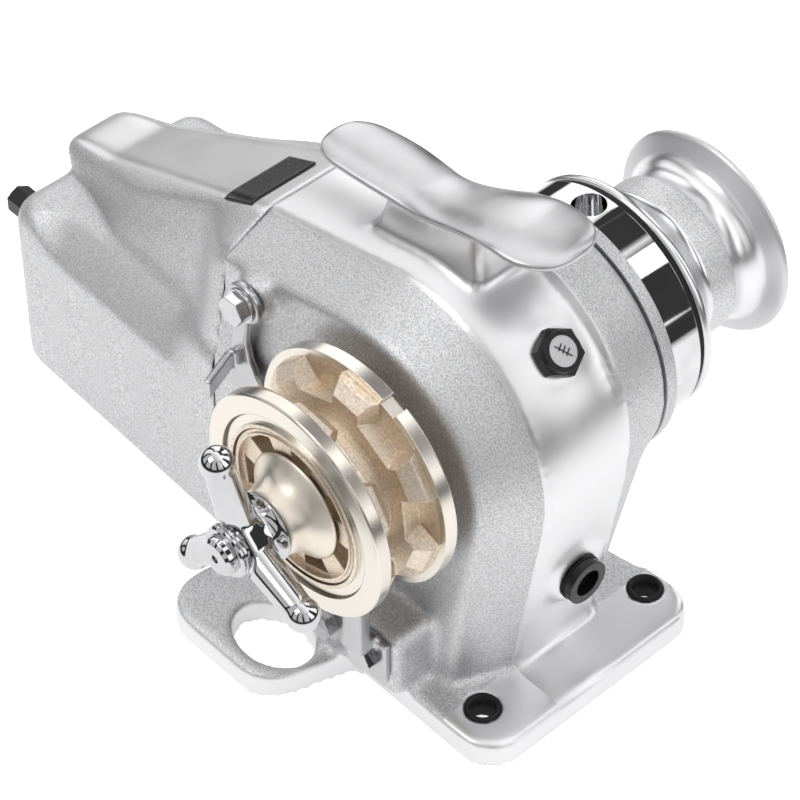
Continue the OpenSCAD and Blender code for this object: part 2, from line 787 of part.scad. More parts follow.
module outer_cone() {
  color(chromed) difference() {
    on_shaft(-gypsy_y_out) rotate_extrude() polygon([[5, 9.4],
      [12.78 - cone_gap, 9.4], [15.6 - cone_gap, 0], [16.2, -1.2],
      [16.6, -2], [16.6, -3.5], [15.6, -5], [13.8, -6], [13, -7],
      [13, -15.1], [5, -15.1]]);
    on_shaft(-gypsy_y_out - 20) cylinder(r = bore_r + 0.02, h = 60);
    key_bar(-140, 60, 0.06);
  }
}

module clutch_handle() {
  y0 = -gypsy_y_out - 15.3;
  color(chromed) difference() {
    union() {
      on_shaft(y0 - 15) cylinder(r = 13, h = 15);
      on_shaft(y0 - 7.5) for (i = [0:2]) rotate(-arm_turn - 120 * i) {
        translate([10, 0, 0]) rotate([0, 90, 0])
          cylinder(r1 = 7, r2 = 6.6, h = 6);
        rotate([0, 90 + arm_tilt, 0]) translate([0, 0, 11])
          cylinder(r1 = 5, r2 = 6.2, h = arm_reach - 11);
        rotate([0, 90 + arm_tilt, 0]) translate([0, 0, arm_reach])
          sphere(r = 7);
      }
    }
    on_shaft(y0 - 20) cylinder(r = thread_d / 2 + fit_gap, h = 40);
  }
}

module handle_retainer() {
  color(steel) on_shaft(-146.6) difference() {
    rotate_extrude() polygon([[5, 0], [11.4, 0], [12.4, 1], [12.4, 2],
      [11.6, 2.4], [12.4, 2.8], [12.4, 4], [11.4, 4.6], [5, 4.6]]);
    translate([0, 0, -1]) cylinder(r = thread_d / 2 + fit_gap, h = 7);
  }
}

module chain_guide() {
  color(chromed) difference() {
    union() {
      side_slab(-64, -60.05) translate([-82, 171]) circle(r = 10.5);
      side_slab(-64, -60.05)
        polygon([[-92.2, 168], [-90.5, 150], [-92, 138], [-92, 116], [-80, 112],
          [-71, 127], [-75.5, 131], [-79.3, 138.5], [-81.3, 148], [-79.5, 160],
          [-73, 166]]);
      // Finger bent round towards the groove of the chain wheel
      translate([0, 0, 127.5]) linear_extrude(10)
        polygon([[-92.4, -62], [-92.4, -66.5], [-84.6, -86], [-81.2, -84.8],
          [-88.6, -65.8], [-88.6, -62]]);
    }
    translate([-82, -66, 171]) rotate([-90, 0, 0]) cylinder(r = 4.2, h = 8);
  }
}

module guide_washer() {
  color(steel) translate([-82, -65.65, 171]) rotate([-90, 0, 0])
    tube(8.5, 4.2, 1.6);
}

// Hex head bolt with its head at negative Y
module hex_bolt(len) {
  rotate([-90, 0, 0]) {
    cylinder(r = 4, h = len);
    translate([0, 0, -5.3]) hex(13, 5.3);
  }
}

module guide_bolt() {
  color(steel) translate([-82, -65.7, 171]) hex_bolt(22);
}

module chain_stripper() {
  color(chromed) difference() {
    union() {
      translate([-22, -82, 25]) cube([50, 3.95, 25]);
      translate([9, -92, 46]) cube([13, 13, 6]);
      side_slab(-92, -84)
        polygon([[9, 46], [22, 46], [22, 84], [17, 102], [13, 102], [13, 84]]);
    }
    for (x = stripper_bolt_x) translate([x, -90, stripper_bolt_z])
      rotate([-90, 0, 0]) cylinder(r = 4.2, h = 20);
  }
}

module stripper_bolts() {
  color(steel) for (x = stripper_bolt_x)
    translate([x, -82.05, stripper_bolt_z]) hex_bolt(20);
}

// Local Z points out of the belt, square to its surface
module at_sight() {
  translate([-case_cx, 2, case_cz]) rotate([0, 42, 0])
    translate([0, 0, case_r + 0.35]) children();
}

module sight_glass_body() {
  color(black) at_sight() difference() {
    union() {
      hex(20, 5);
      translate([0, 0, 4.5]) cylinder(r1 = 10, r2 = 9, h = 2.5);
      translate([0, 0, -7]) cylinder(r = 6.95, h = 8);
    }
    translate([0, 0, -15]) cylinder(r = 4, h = 25);
    translate([0, 0, 3]) cylinder(r = 6.9, h = 10);
  }
}

module sight_glass_window() {
  color(silver) at_sight() translate([0, 0, 3.05]) cylinder(r = 6.85, h = 3);
}

module plug_seal() {
  color(black) translate([plug_face_x + 0.02, plug_y, plug_z])
    rotate([0, 90, 0]) tube(11.4, 8.2, 0.9);
}

module oil_plug() {
  color(black) translate([plug_face_x + 0.95, plug_y, plug_z])
    rotate([0, 90, 0]) difference() {
      union() {
        cylinder(r = 11, h = 4.2);
        translate([0, 0, -14]) cylinder(r = 7.95, h = 15);
      }
      translate([0, 0, -1.5]) cylinder(r = 6.8, h = 8);
      translate([0, 0, -8]) hex(8, 8);
    }
}

module lever_ring() {
  color(chromed) on_shaft(ring_y) difference() {
    rotate_extrude() polygon([[sleeve_r + fit_gap, 0], [ring_r - 1, 0],
      [ring_r, 1], [ring_r, ring_w - 1], [ring_r - 1, ring_w],
      [sleeve_r + fit_gap, ring_w]]);
    for (a = [-95, 85]) rotate(a) translate([ring_r - socket_depth, 0, ring_w / 2])
      rotate([0, 90, 0]) cylinder(d = socket_d, h = 30);
  }
}

module ring_seal() {
  color(black) on_shaft(drum_y - 2.1) tube(ring_r - 1.5, 44, 2.05);
}

module rope_drum() {
  end = drum_end_y - drum_y;
  color(silver) difference() {
    on_shaft(drum_y) rotate_extrude() polygon(concat(
      [[5, 0], [drum_lip_r - 1, 0], [drum_lip_r, 1], [drum_lip_r, 4],
       [drum_lip_r - 0.8, 4.8], [drum_lip_r - 0.8, 5.6],
       [drum_lip_r - 2.2, 6.4], [drum_lip_r - 5, 8.4],
       [drum_lip_r - 7.5, 12], [drum_lip_r - 9.5, 18],
       [drum_waist_r + 7, 24],
       [drum_waist_r + 5.5, 33], [drum_waist_r + 4, 34.5]],
      [for (i = [1:9]) let (t = i / 9)
        [drum_waist_r + 4 * pow(1 - t, 2), 34.5 + 7 * t]],
      [for (i = [1:10]) let (t = i / 10)
        [drum_waist_r + (drum_flange_r - drum_waist_r) * pow(t, 1.7),
         41.5 + (end - 3 - 41.5) * t]],
      [[drum_flange_r, end - 0.6], [drum_flange_r - 0.6, end], [26, end],
       [26, 48], [5, 48]]));
    on_shaft(drum_y - 1) cylinder(r = bore_r, h = 60);
    key_bar(drum_y - 1, 52, 0.03);
  }
}

module drum_washer() {
  color(steel) on_shaft(drum_y + 48.05) tube(18, bore_r, 2.6);
}

module drum_nut() {
  color(steel) on_shaft(drum_y + 50.7) difference() {
    hex(27, 10);
    translate([0, 0, -1]) cylinder(r = thread_d / 2 + fit_gap, h = 12);
  }
}

main_housing();
motor_cover();
cover_gasket();
cover_screws();
bearing_cover();
bearing_cover_screws();
shaft_bearings();
near_shaft_seal();
far_shaft_seal();
main_shaft();
wheel_key();
worm_wheel();
worm();
worm_rear_bearing();
worm_front_bearing();
motor_can();
motor_flange();
motor_end_bell();
armature();
commutator();
motor_brushes();
motor_bolts();
cable_gland();
inner_cone();
gypsy();
outer_cone();
clutch_key();
clutch_handle();
handle_retainer();
chain_guide();
guide_bolt();
guide_washer();
chain_stripper();
stripper_bolts();
sight_glass_body();
sight_glass_window();
oil_plug();
plug_seal();
lever_ring();
ring_seal();
rope_drum();
drum_key();
drum_washer();
drum_nut();
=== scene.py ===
import math

import bmesh
import bpy
import numpy as np
from mathutils import Matrix, Vector


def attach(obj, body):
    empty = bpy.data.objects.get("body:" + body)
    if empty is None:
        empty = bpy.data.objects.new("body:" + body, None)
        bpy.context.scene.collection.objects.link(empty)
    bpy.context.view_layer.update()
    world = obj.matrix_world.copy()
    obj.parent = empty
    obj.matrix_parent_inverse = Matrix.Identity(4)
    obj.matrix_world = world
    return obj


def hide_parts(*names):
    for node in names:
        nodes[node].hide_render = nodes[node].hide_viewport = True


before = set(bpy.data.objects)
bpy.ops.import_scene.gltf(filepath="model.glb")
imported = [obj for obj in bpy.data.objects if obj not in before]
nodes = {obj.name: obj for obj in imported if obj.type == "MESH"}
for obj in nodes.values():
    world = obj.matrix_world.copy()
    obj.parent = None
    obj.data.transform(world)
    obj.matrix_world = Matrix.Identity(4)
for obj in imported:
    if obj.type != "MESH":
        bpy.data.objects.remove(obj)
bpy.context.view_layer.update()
print("frame loaded with", len(nodes), "nodes")

mm = 0.001
shaftZ = 140 * mm          # height of the main shaft
caseX = -10.5 * mm         # centre of the round gear case
caseZ = 128 * mm
caseR = 80 * mm


# camera, at the photograph's viewing angle
camera = {
    "place": (0.70876, -0.70424, 1.15125),
    "turn": 47.15,      # degrees round from the chain side
    "height": 45.67,    # degrees above the deck
    "lens": 146.59,
}


def aimCamera():
    turn, height = math.radians(camera["turn"]), math.radians(camera["height"])
    right = Vector((math.cos(turn), math.sin(turn), 0))
    back = Vector((math.sin(turn) * math.cos(height),
                   -math.cos(turn) * math.cos(height), math.sin(height)))
    up = back.cross(right)
    data = bpy.data.cameras.new("photoCamera")
    data.lens = camera["lens"]
    data.sensor_width = 36
    data.clip_start = 0.05
    data.clip_end = 30
    obj = bpy.data.objects.new("photoCamera", data)
    bpy.context.scene.collection.objects.link(obj)
    turned = Matrix((right, up, back)).transposed().to_4x4()
    obj.matrix_world = Matrix.Translation(camera["place"]) @ turned
    bpy.context.scene.camera = obj


aimCamera()
bpy.context.scene.view_settings.view_transform = "Standard"


# small helpers for shader trees
def addNode(tree, kind, inputs=None, **settings):
    node = tree.nodes.new(kind)
    for name, value in settings.items():
        setattr(node, name, value)
    for name, value in (inputs or {}).items():
        socket = node.inputs[name]
        if isinstance(value, bpy.types.NodeSocket):
            tree.links.new(value, socket)
        else:
            socket.default_value = value
    return node


def newMaterial(name):
    material = bpy.data.materials.new(name)
    material.use_nodes = True
    tree = material.node_tree
    tree.nodes.clear()
    out = tree.nodes.new("ShaderNodeOutputMaterial")
    shader = tree.nodes.new("ShaderNodeBsdfPrincipled")
    tree.links.new(shader.outputs[0], out.inputs["Surface"])
    return material, tree, shader


def objectPoint(tree):
    return tree.nodes.new("ShaderNodeTexCoord").outputs["Object"]


def noise(tree, point, scale, detail=2.0, rough=0.5):
    node = addNode(tree, "ShaderNodeTexNoise",
                   {"Vector": point, "Scale": scale, "Detail": detail, "Roughness": rough})
    return node.outputs["Fac"]


def maths(tree, kind, a, b=0.0, clamp=False):
    node = addNode(tree, "ShaderNodeMath", {0: a, 1: b}, operation=kind, use_clamp=clamp)
    return node.outputs[0]


def span(tree, value, low, high, toLow=0.0, toHigh=1.0, smooth=True):
    node = addNode(tree, "ShaderNodeMapRange",
                   {"Value": value, "From Min": low, "From Max": high,
                    "To Min": toLow, "To Max": toHigh},
                   interpolation_type="SMOOTHSTEP" if smooth else "LINEAR")
    return node.outputs["Result"]


def mixValue(tree, share, a, b):
    node = addNode(tree, "ShaderNodeMix", {0: share, 2: a, 3: b}, data_type="FLOAT")
    return node.outputs[0]


def mixColour(tree, share, a, b, kind="MIX"):
    node = addNode(tree, "ShaderNodeMix", {0: share, 6: a, 7: b}, data_type="RGBA",
                   blend_type=kind)
    return node.outputs[2]


def splitPoint(tree, point):
    node = addNode(tree, "ShaderNodeSeparateXYZ", {0: point})
    return node.outputs[0], node.outputs[1], node.outputs[2]


def setMetal(shader, rough=None, metallic=1.0):
    shader.inputs["Metallic"].default_value = metallic
    if rough is not None:
        shader.inputs["Roughness"].default_value = rough


def softEdge(tree, radius, samples=6):
    return addNode(tree, "ShaderNodeBevel", {"Radius": radius}, samples=samples).outputs[0]


# cast aluminium: gritty sides, satin polished belt, nose and horn
castLook = {
    "gritColour": (0.78, 0.78, 0.79, 1),
    "gritDark": (0.52, 0.52, 0.53, 1),
    "satinColour": (0.82, 0.82, 0.83, 1),
    "gritRough": 0.50,
    "satinRough": 0.36,
    "grainSize": 1250.0,
    "grainDepth": 0.00022,
    "beltNear": -0.0262,     # satin belt between these two places along the shaft
    "beltFar": 0.0242,
    "baseTop": 0.0142,
    "padFront": 0.052,       # the plate's top is satin ahead of this
    "crown": 4.5,            # how much the belt's shading bulges across its width
}


def satinMaskHousing(tree, point):
    x, y, z = splitPoint(tree, point)
    normal = tree.nodes.new("ShaderNodeTexCoord").outputs["Normal"]
    near, far, top = castLook["beltNear"], castLook["beltFar"], castLook["baseTop"]
    belt = maths(tree, "MULTIPLY", span(tree, y, near - 0.0006, near),
                 span(tree, y, far + 0.0006, far))
    above = span(tree, z, top, top + 0.0008)
    belt = maths(tree, "MULTIPLY", belt, above)
    below = maths(tree, "SUBTRACT", 1.0, above)
    upward = span(tree, splitPoint(tree, normal)[2], 0.5, 0.75)
    rim = maths(tree, "SUBTRACT", 1.0, upward)
    pad = span(tree, x, castLook["padFront"], castLook["padFront"] + 0.001)
    plate = maths(tree, "MULTIPLY", below, maths(tree, "MAXIMUM", rim, pad))
    return maths(tree, "MAXIMUM", belt, plate)


def satinMaskCover(tree, point):
    normal = tree.nodes.new("ShaderNodeTexCoord").outputs["Normal"]
    upward = span(tree, splitPoint(tree, normal)[2], 0.80, 0.88)
    x, y, z = splitPoint(tree, point)
    high = maths(tree, "MULTIPLY", span(tree, z, 0.115, 0.118),
                 span(tree, maths(tree, "ABSOLUTE", y), 0.030, 0.028))
    return maths(tree, "MULTIPLY", upward, high)


def castMaterial(name, maskOf, edge, crowned=False):
    material, tree, shader = newMaterial(name)
    point = objectPoint(tree)
    satin = maskOf(tree, point)
    grain = noise(tree, point, castLook["grainSize"], 2.0, 0.6)
    patch = noise(tree, point, 35.0, 2.0)
    speck = span(tree, grain, 0.32, 0.66)
    grit = mixColour(tree, speck, castLook["gritDark"], castLook["gritColour"])
    colour = mixColour(tree, satin, grit, castLook["satinColour"])
    shade = span(tree, patch, 0.3, 0.7, 0.97, 1.0)
    tint = addNode(tree, "ShaderNodeCombineColor", {0: shade, 1: shade, 2: shade}).outputs[0]
    colour = mixColour(tree, 1.0, colour, tint, "MULTIPLY")
    tree.links.new(colour, shader.inputs["Base Color"])
    gritRough = span(tree, grain, 0.3, 0.7, castLook["gritRough"] + 0.06,
                     castLook["gritRough"] - 0.05)
    satinRough = span(tree, patch, 0.3, 0.7, castLook["satinRough"] - 0.02,
                      castLook["satinRough"] + 0.03)
    tree.links.new(mixValue(tree, satin, gritRough, satinRough), shader.inputs["Roughness"])
    setMetal(shader)
    normal = softEdge(tree, edge)
    if crowned:
        y = splitPoint(tree, point)[1]
        off = maths(tree, "SUBTRACT", 0.012, maths(tree, "MAXIMUM", y, castLook["beltNear"]))
        off = maths(tree, "MAXIMUM", off, 0.0)
        sag = maths(tree, "MULTIPLY", maths(tree, "MULTIPLY", off, off), -castLook["crown"])
        bulge = addNode(tree, "ShaderNodeBump", {"Height": sag, "Strength": 1.0,
                                                 "Distance": 1.0, "Normal": normal})
        normal = bulge.outputs[0]
    depth = mixValue(tree, satin, 1.0, 0.04)
    bump = addNode(tree, "ShaderNodeBump",
                   {"Height": grain, "Strength": depth, "Distance": castLook["grainDepth"],
                    "Normal": normal})
    tree.links.new(bump.outputs[0], shader.inputs["Normal"])
    return material


# chain wheel bronze: sandy cast faces, turned pale rims, and painted shade along the two face
# grooves
bronzeLook = {
    "sand": (0.90, 0.80, 0.67, 1),
    "sandDark": (0.64, 0.51, 0.38, 1),
    "grooves": (0.0446, 0.0379),
    "grooveWidth": 0.0004,
    # painted shade: colour of the dark rings laid along the face grooves
    "grooveShade": (0.10, 0.07, 0.05, 1),
    "rim": (0.80, 0.75, 0.68, 1),
    "sandRough": 0.42,
    "rimRough": 0.24,
    "faceY": -0.1080,         # outer face of the wheel, turned outside this radius
    "turnedFrom": 0.0395,
    "edgeFrom": 0.0538,       # both rims are turned outside this radius
    "lathePitch": 0.00085,
}


def ringRadius(tree, point, centreX, centreZ):
    x, y, z = splitPoint(tree, point)
    dx = maths(tree, "SUBTRACT", x, centreX)
    dz = maths(tree, "SUBTRACT", z, centreZ)
    squares = maths(tree, "ADD", maths(tree, "MULTIPLY", dx, dx), maths(tree, "MULTIPLY", dz, dz))
    return maths(tree, "SQRT", squares), y


def wheelMaterial():
    material, tree, shader = newMaterial("wheelBronze")
    point = objectPoint(tree)
    look = bronzeLook
    radius, y = ringRadius(tree, point, 0.0, shaftZ)
    onFace = span(tree, y, look["faceY"] + 0.0020, look["faceY"] + 0.0012)
    face = maths(tree, "MULTIPLY", onFace,
                 span(tree, radius, look["turnedFrom"], look["turnedFrom"] + 0.0006))
    edge = span(tree, radius, look["edgeFrom"], look["edgeFrom"] + 0.0005)
    turned = maths(tree, "MAXIMUM", face, edge)
    grain = noise(tree, point, 900.0, 4.0, 0.65)
    patch = noise(tree, point, 90.0, 3.0)
    sand = mixColour(tree, span(tree, grain, 0.3, 0.68), look["sandDark"], look["sand"])
    sand = mixColour(tree, span(tree, patch, 0.35, 0.7, 0.0, 0.35), sand, look["rim"])
    lathe = maths(tree, "SINE", maths(tree, "MULTIPLY", radius, 6.2832 / look["lathePitch"]))
    lathe = maths(tree, "POWER", span(tree, lathe, -1.0, 1.0), 3.0)
    shaded = mixColour(tree, maths(tree, "MULTIPLY", lathe, 0.16), look["rim"],
                       (0.45, 0.40, 0.34, 1))
    colour = mixColour(tree, turned, sand, shaded)
    nearFace = span(tree, y, look["faceY"] + 0.0032, look["faceY"] + 0.0028)
    # painted shade: dark rings drawn at the two groove radii on the outer face, standing in for
    # the shadow inside the grooves
    for groove in look["grooves"]:
        off = maths(tree, "ABSOLUTE", maths(tree, "SUBTRACT", radius, groove))
        line = span(tree, off, look["grooveWidth"] * 1.5, look["grooveWidth"] * 0.6)
        colour = mixColour(tree, maths(tree, "MULTIPLY", line, nearFace), colour,
                           look["grooveShade"])
    tree.links.new(colour, shader.inputs["Base Color"])
    sandRough = span(tree, grain, 0.3, 0.7, look["sandRough"] + 0.1, look["sandRough"] - 0.06)
    tree.links.new(mixValue(tree, turned, sandRough, look["rimRough"]),
                   shader.inputs["Roughness"])
    setMetal(shader)
    bump = addNode(tree, "ShaderNodeBump",
                   {"Height": grain, "Strength": mixValue(tree, turned, 0.7, 0.03),
                    "Distance": 0.0002, "Normal": softEdge(tree, 0.0008)})
    tree.links.new(bump.outputs[0], shader.inputs["Normal"])
    return material


# drum: satin lip and neck, granular body, polished cove and a grey satin flange
drumLook = {
    "body": (0.1072, 0.1219),       # places along the shaft
    "cove": 0.1219,
    "flange": 0.1372,
    "bodyColour": (0.86, 0.86, 0.87, 1),
    "coveColour": (0.84, 0.84, 0.85, 1),
    "flangeColour": (0.70, 0.70, 0.71, 1),
    "lipColour": (0.76, 0.76, 0.77, 1),
    "gritDark": (0.55, 0.55, 0.56, 1),
    "grainSize": 1250.0, "grainDepth": 0.0002,
    "lipRough": 0.26, "bodyRough": (0.56, 0.46), "coveRough": 0.30, "flangeRough": 0.40,
}


def drumMaterial():
    material, tree, shader = newMaterial("drumCast")
    point = objectPoint(tree)
    look = drumLook
    along = splitPoint(tree, point)[1]
    body = span(tree, along, look["body"][0], look["body"][0] + 0.0004)
    cove = span(tree, along, look["cove"], look["cove"] + 0.0003)
    flange = span(tree, along, look["flange"], look["flange"] + 0.0008)
    grain = noise(tree, point, look["grainSize"], 2.0, 0.6)
    speck = span(tree, grain, 0.32, 0.66)
    grit = mixColour(tree, speck, look["gritDark"], look["bodyColour"])
    colour = mixColour(tree, body, look["lipColour"], grit)
    colour = mixColour(tree, cove, colour, look["coveColour"])
    colour = mixColour(tree, flange, colour, look["flangeColour"])
    tree.links.new(colour, shader.inputs["Base Color"])
    rough = span(tree, grain, 0.3, 0.7, *look["bodyRough"])
    rough = mixValue(tree, body, look["lipRough"], rough)
    rough = mixValue(tree, cove, rough, look["coveRough"])
    tree.links.new(mixValue(tree, flange, rough, look["flangeRough"]),
                   shader.inputs["Roughness"])
    setMetal(shader)
    gritty = maths(tree, "SUBTRACT", body, cove)
    bump = addNode(tree, "ShaderNodeBump",
                   {"Height": grain, "Strength": maths(tree, "MAXIMUM", gritty, 0.03),
                    "Distance": look["grainDepth"], "Normal": softEdge(tree, 0.0005)})
    tree.links.new(bump.outputs[0], shader.inputs["Normal"])
    return material


# plain metals and blacks
def plainMetal(name, colour, rough, grainDepth=0.00003, grainSize=500.0, edge=0.0007):
    material, tree, shader = newMaterial(name)
    point = objectPoint(tree)
    smear = noise(tree, point, 70.0, 3.0)
    grain = noise(tree, point, grainSize, 3.0)
    darker = tuple(c * 0.9 for c in colour[:3]) + (1,)
    tree.links.new(mixColour(tree, span(tree, smear, 0.3, 0.7), darker, colour),
                   shader.inputs["Base Color"])
    tree.links.new(span(tree, smear, 0.3, 0.7, rough * 0.85, rough * 1.2),
                   shader.inputs["Roughness"])
    setMetal(shader)
    bump = addNode(tree, "ShaderNodeBump",
                   {"Height": grain, "Strength": 0.4, "Distance": grainDepth,
                    "Normal": softEdge(tree, edge)})
    tree.links.new(bump.outputs[0], shader.inputs["Normal"])
    return material


def blackPart(name, level, rough, grainDepth=0.00006):
    material, tree, shader = newMaterial(name)
    point = objectPoint(tree)
    grain = noise(tree, point, 600.0, 3.0)
    smear = noise(tree, point, 80.0, 2.0)
    low, high = level * 0.8, level * 1.2
    tree.links.new(mixColour(tree, smear, (low, low, low, 1), (high, high, high * 1.03, 1)),
                   shader.inputs["Base Color"])
    tree.links.new(span(tree, grain, 0.3, 0.7, rough - 0.05, rough + 0.06),
                   shader.inputs["Roughness"])
    shader.inputs["Metallic"].default_value = 0.0
    bump = addNode(tree, "ShaderNodeBump",
                   {"Height": grain, "Strength": 0.5, "Distance": grainDepth,
                    "Normal": softEdge(tree, 0.0006)})
    tree.links.new(bump.outputs[0], shader.inputs["Normal"])
    return material


housingCast = castMaterial("housingCast", satinMaskHousing, 0.0006, True)
coverCast = castMaterial("coverCast", satinMaskCover, 0.0006)
wheelBronze = wheelMaterial()
gearBronze = plainMetal("gearBronze", (0.72, 0.52, 0.30, 1), 0.3)
chrome = plainMetal("chrome", (0.62, 0.62, 0.63, 1), 0.03, 0.000008)
ringChrome = plainMetal("ringChrome", (0.72, 0.72, 0.73, 1), 0.03, 0.000006, edge=0.0004)
coneSteel = plainMetal("coneSteel", (0.74, 0.72, 0.68, 1), 0.14, 0.00001)
hornSatin = plainMetal("hornSatin", (0.68, 0.68, 0.69, 1), 0.36, 0.00005, 1100.0)
coneBronze = plainMetal("coneBronze", (0.86, 0.79, 0.69, 1), 0.36, 0.00006, 900.0)
satinSteel = plainMetal("satinSteel", (0.62, 0.62, 0.63, 1), 0.24)
bracketSteel = plainMetal("bracketSteel", (0.56, 0.56, 0.57, 1), 0.26)
darkSteel = plainMetal("darkSteel", (0.40, 0.40, 0.41, 1), 0.4)
drumCast = drumMaterial()
copperWire = plainMetal("copperWire", (0.80, 0.42, 0.25, 1), 0.3)
blackRubber = blackPart("blackRubber", 0.004, 0.7)
blackPlastic = blackPart("blackPlastic", 0.006, 0.34)
carbonBlock = blackPart("carbonBlock", 0.03, 0.6)
windowFace = blackPart("windowFace", 0.7, 0.2)
plateBlack = blackPart("plateBlack", 0.02, 0.22)

finishes = {
    "main_housing": housingCast,
    "motor_cover": coverCast,
    "bearing_cover": coverCast,
    "motor_flange": coverCast,
    "motor_end_bell": coverCast,
    "gypsy": wheelBronze,
    "inner_cone": coneSteel,
    "outer_cone": coneSteel,
    "worm_wheel": gearBronze,
    "clutch_handle": chrome,
    "lever_ring": ringChrome,
    "guide_bolt": chrome,
    "stripper_bolts": chrome,
    "main_shaft": chrome,
    "chain_guide": bracketSteel,
    "chain_stripper": bracketSteel,
    "handle_retainer": chrome,
    "rope_drum": drumCast,
    "armature": darkSteel,
    "commutator": copperWire,
    "motor_brushes": carbonBlock,
    "cover_gasket": blackRubber,
    "near_shaft_seal": blackRubber,
    "far_shaft_seal": blackRubber,
    "plug_seal": blackRubber,
    "ring_seal": blackRubber,
    "motor_can": blackPlastic,
    "cable_gland": blackPlastic,
    "oil_plug": blackPlastic,
    "sight_glass_body": blackPlastic,
    "sight_glass_window": windowFace,
}
for name, obj in nodes.items():
    material = finishes.get(name, satinSteel)
    for slot in obj.material_slots:
        slot.material = material
print("finishes set on the solids")


# castings get the rounded corners and fillets of a sand mould
skinLook = {
    "main_housing": {"name": "housingSkin", "voxel": 0.00170, "turns": 14,
                     "body": "base", "slot": "cast_aluminium"},
    "motor_cover": {"name": "coverSkin", "voxel": 0.00165, "turns": 8,
                    "body": "base", "slot": "cast_aluminium"},
    "chain_guide": {"name": "guideSkin", "voxel": 0.00055, "turns": 12,
                    "body": "base", "slot": "chrome"},
    "chain_stripper": {"name": "stripperSkin", "voxel": 0.00065, "turns": 10,
                       "body": "base", "slot": "chrome"},
    "clutch_handle": {"name": "handleSkin", "voxel": 0.00050, "turns": 16,
                      "body": "handle", "slot": "chrome"},
}


def evaluated(obj):
    graph = bpy.context.evaluated_depsgraph_get()
    mesh = bpy.data.meshes.new_from_object(obj.evaluated_get(graph))
    obj.modifiers.clear()
    old = obj.data
    obj.data = mesh
    bpy.data.meshes.remove(old)


def soften(mesh, turns, keepOf):
    count = len(mesh.vertices)
    place = np.empty(count * 3)
    mesh.vertices.foreach_get("co", place)
    place = place.reshape(-1, 3)
    edges = np.empty(len(mesh.edges) * 2, dtype=np.int64)
    mesh.edges.foreach_get("vertices", edges)
    a, b = edges[0::2], edges[1::2]
    valence = np.bincount(a, minlength=count) + np.bincount(b, minlength=count)
    share = (0.6 * (1.0 - keepOf(place)))[:, None]
    for turn in range(turns):
        total = np.zeros_like(place)
        for axis in range(3):
            total[:, axis] = (np.bincount(a, weights=place[b, axis], minlength=count)
                              + np.bincount(b, weights=place[a, axis], minlength=count))
        place += share * (total / np.maximum(valence, 1)[:, None] - place)
    mesh.vertices.foreach_set("co", place.ravel())
    mesh.update()


# where the skins keep the crisp form of the solid, and how far (1 is all of it)
keepLook = {
    "housingSeam": -0.1035, "coverSeam": -0.1105, "seamSoft": 0.002,
    "under": 0.006, "underSoft": 0.003,
    "holes": (0.060, 0.052), "holeReach": 0.0105, "plateTop": 0.016, "holeShare": 0.8,
    "hawse": (-0.036, -0.092), "hawseReach": (0.0245, 0.0185), "hawseShare": 0.6,
    "beltOutside": 0.070, "beltReach": 0.004, "beltAbove": 0.020, "beltShare": 0.72,
}


def keepHousing(place):
    look = keepLook
    x, y, z = place[:, 0], place[:, 1], place[:, 2]
    seam = np.clip((look["housingSeam"] - x) / look["seamSoft"], 0, 1)
    under = np.clip((look["under"] - z) / look["underSoft"], 0, 1)
    plate = z < look["plateTop"]
    holeX, holeY = look["holes"]
    ahead = np.abs(x - holeX) < look["holeReach"]
    holes = ahead & (np.abs(np.abs(y) - holeY) < look["holeReach"]) & plate
    (hawseX, hawseY), (reachX, reachY) = look["hawse"], look["hawseReach"]
    hawse = (((x - hawseX) / reachX) ** 2 + ((y - hawseY) / reachY) ** 2 < 1) & plate
    outside = np.hypot(x - caseX, z - caseZ) > look["beltOutside"]
    off = np.minimum(np.abs(y - castLook["beltNear"]), np.abs(y - castLook["beltFar"]))
    belt = outside & (off < look["beltReach"]) & (z > look["beltAbove"])
    return np.maximum.reduce([seam, under, holes * look["holeShare"],
                              hawse * look["hawseShare"], belt * look["beltShare"]])


def keepCover(place):
    return np.clip((place[:, 0] - keepLook["coverSeam"]) / keepLook["seamSoft"], 0, 1)


def easeNp(x, low, high):
    t = np.clip((x - low) / (high - low), 0, 1)
    return t * t * (3 - 2 * t)


# the motor cover's finer form: each pair is where a change fades in
coverLook = {
    "rear": (0.1150, 0.1500),
    "creaseY": -0.041, "creaseZ": 0.1165,  # crease above the near shoulder
    "slopeY": -0.772, "slopeZ": 0.636,     # outward normal of the shoulder under the crease
    "ridgeX": -0.200, "ridgeZ": 0.146, "ridgeRise": 0.449,
    "ridgeEdge": -0.0275,
    "cutShare": 0.92,
    "ridgeReach": 0.0085,                  # the ridge's rear end stands this much further back
    "ridgeAbove": (0.1090, 0.1160), "ridgeHalf": 0.036, "ridgeSoft": 0.008,
    "ridgeBehind": (0.2300, 0.2520),
    "farDrop": 0.0065,                     # the far shoulder falls away at the rear
    "farSide": (0.024, 0.040), "farBehind": (0.1500, 0.2050), "farAbove": (0.070, 0.095),
}


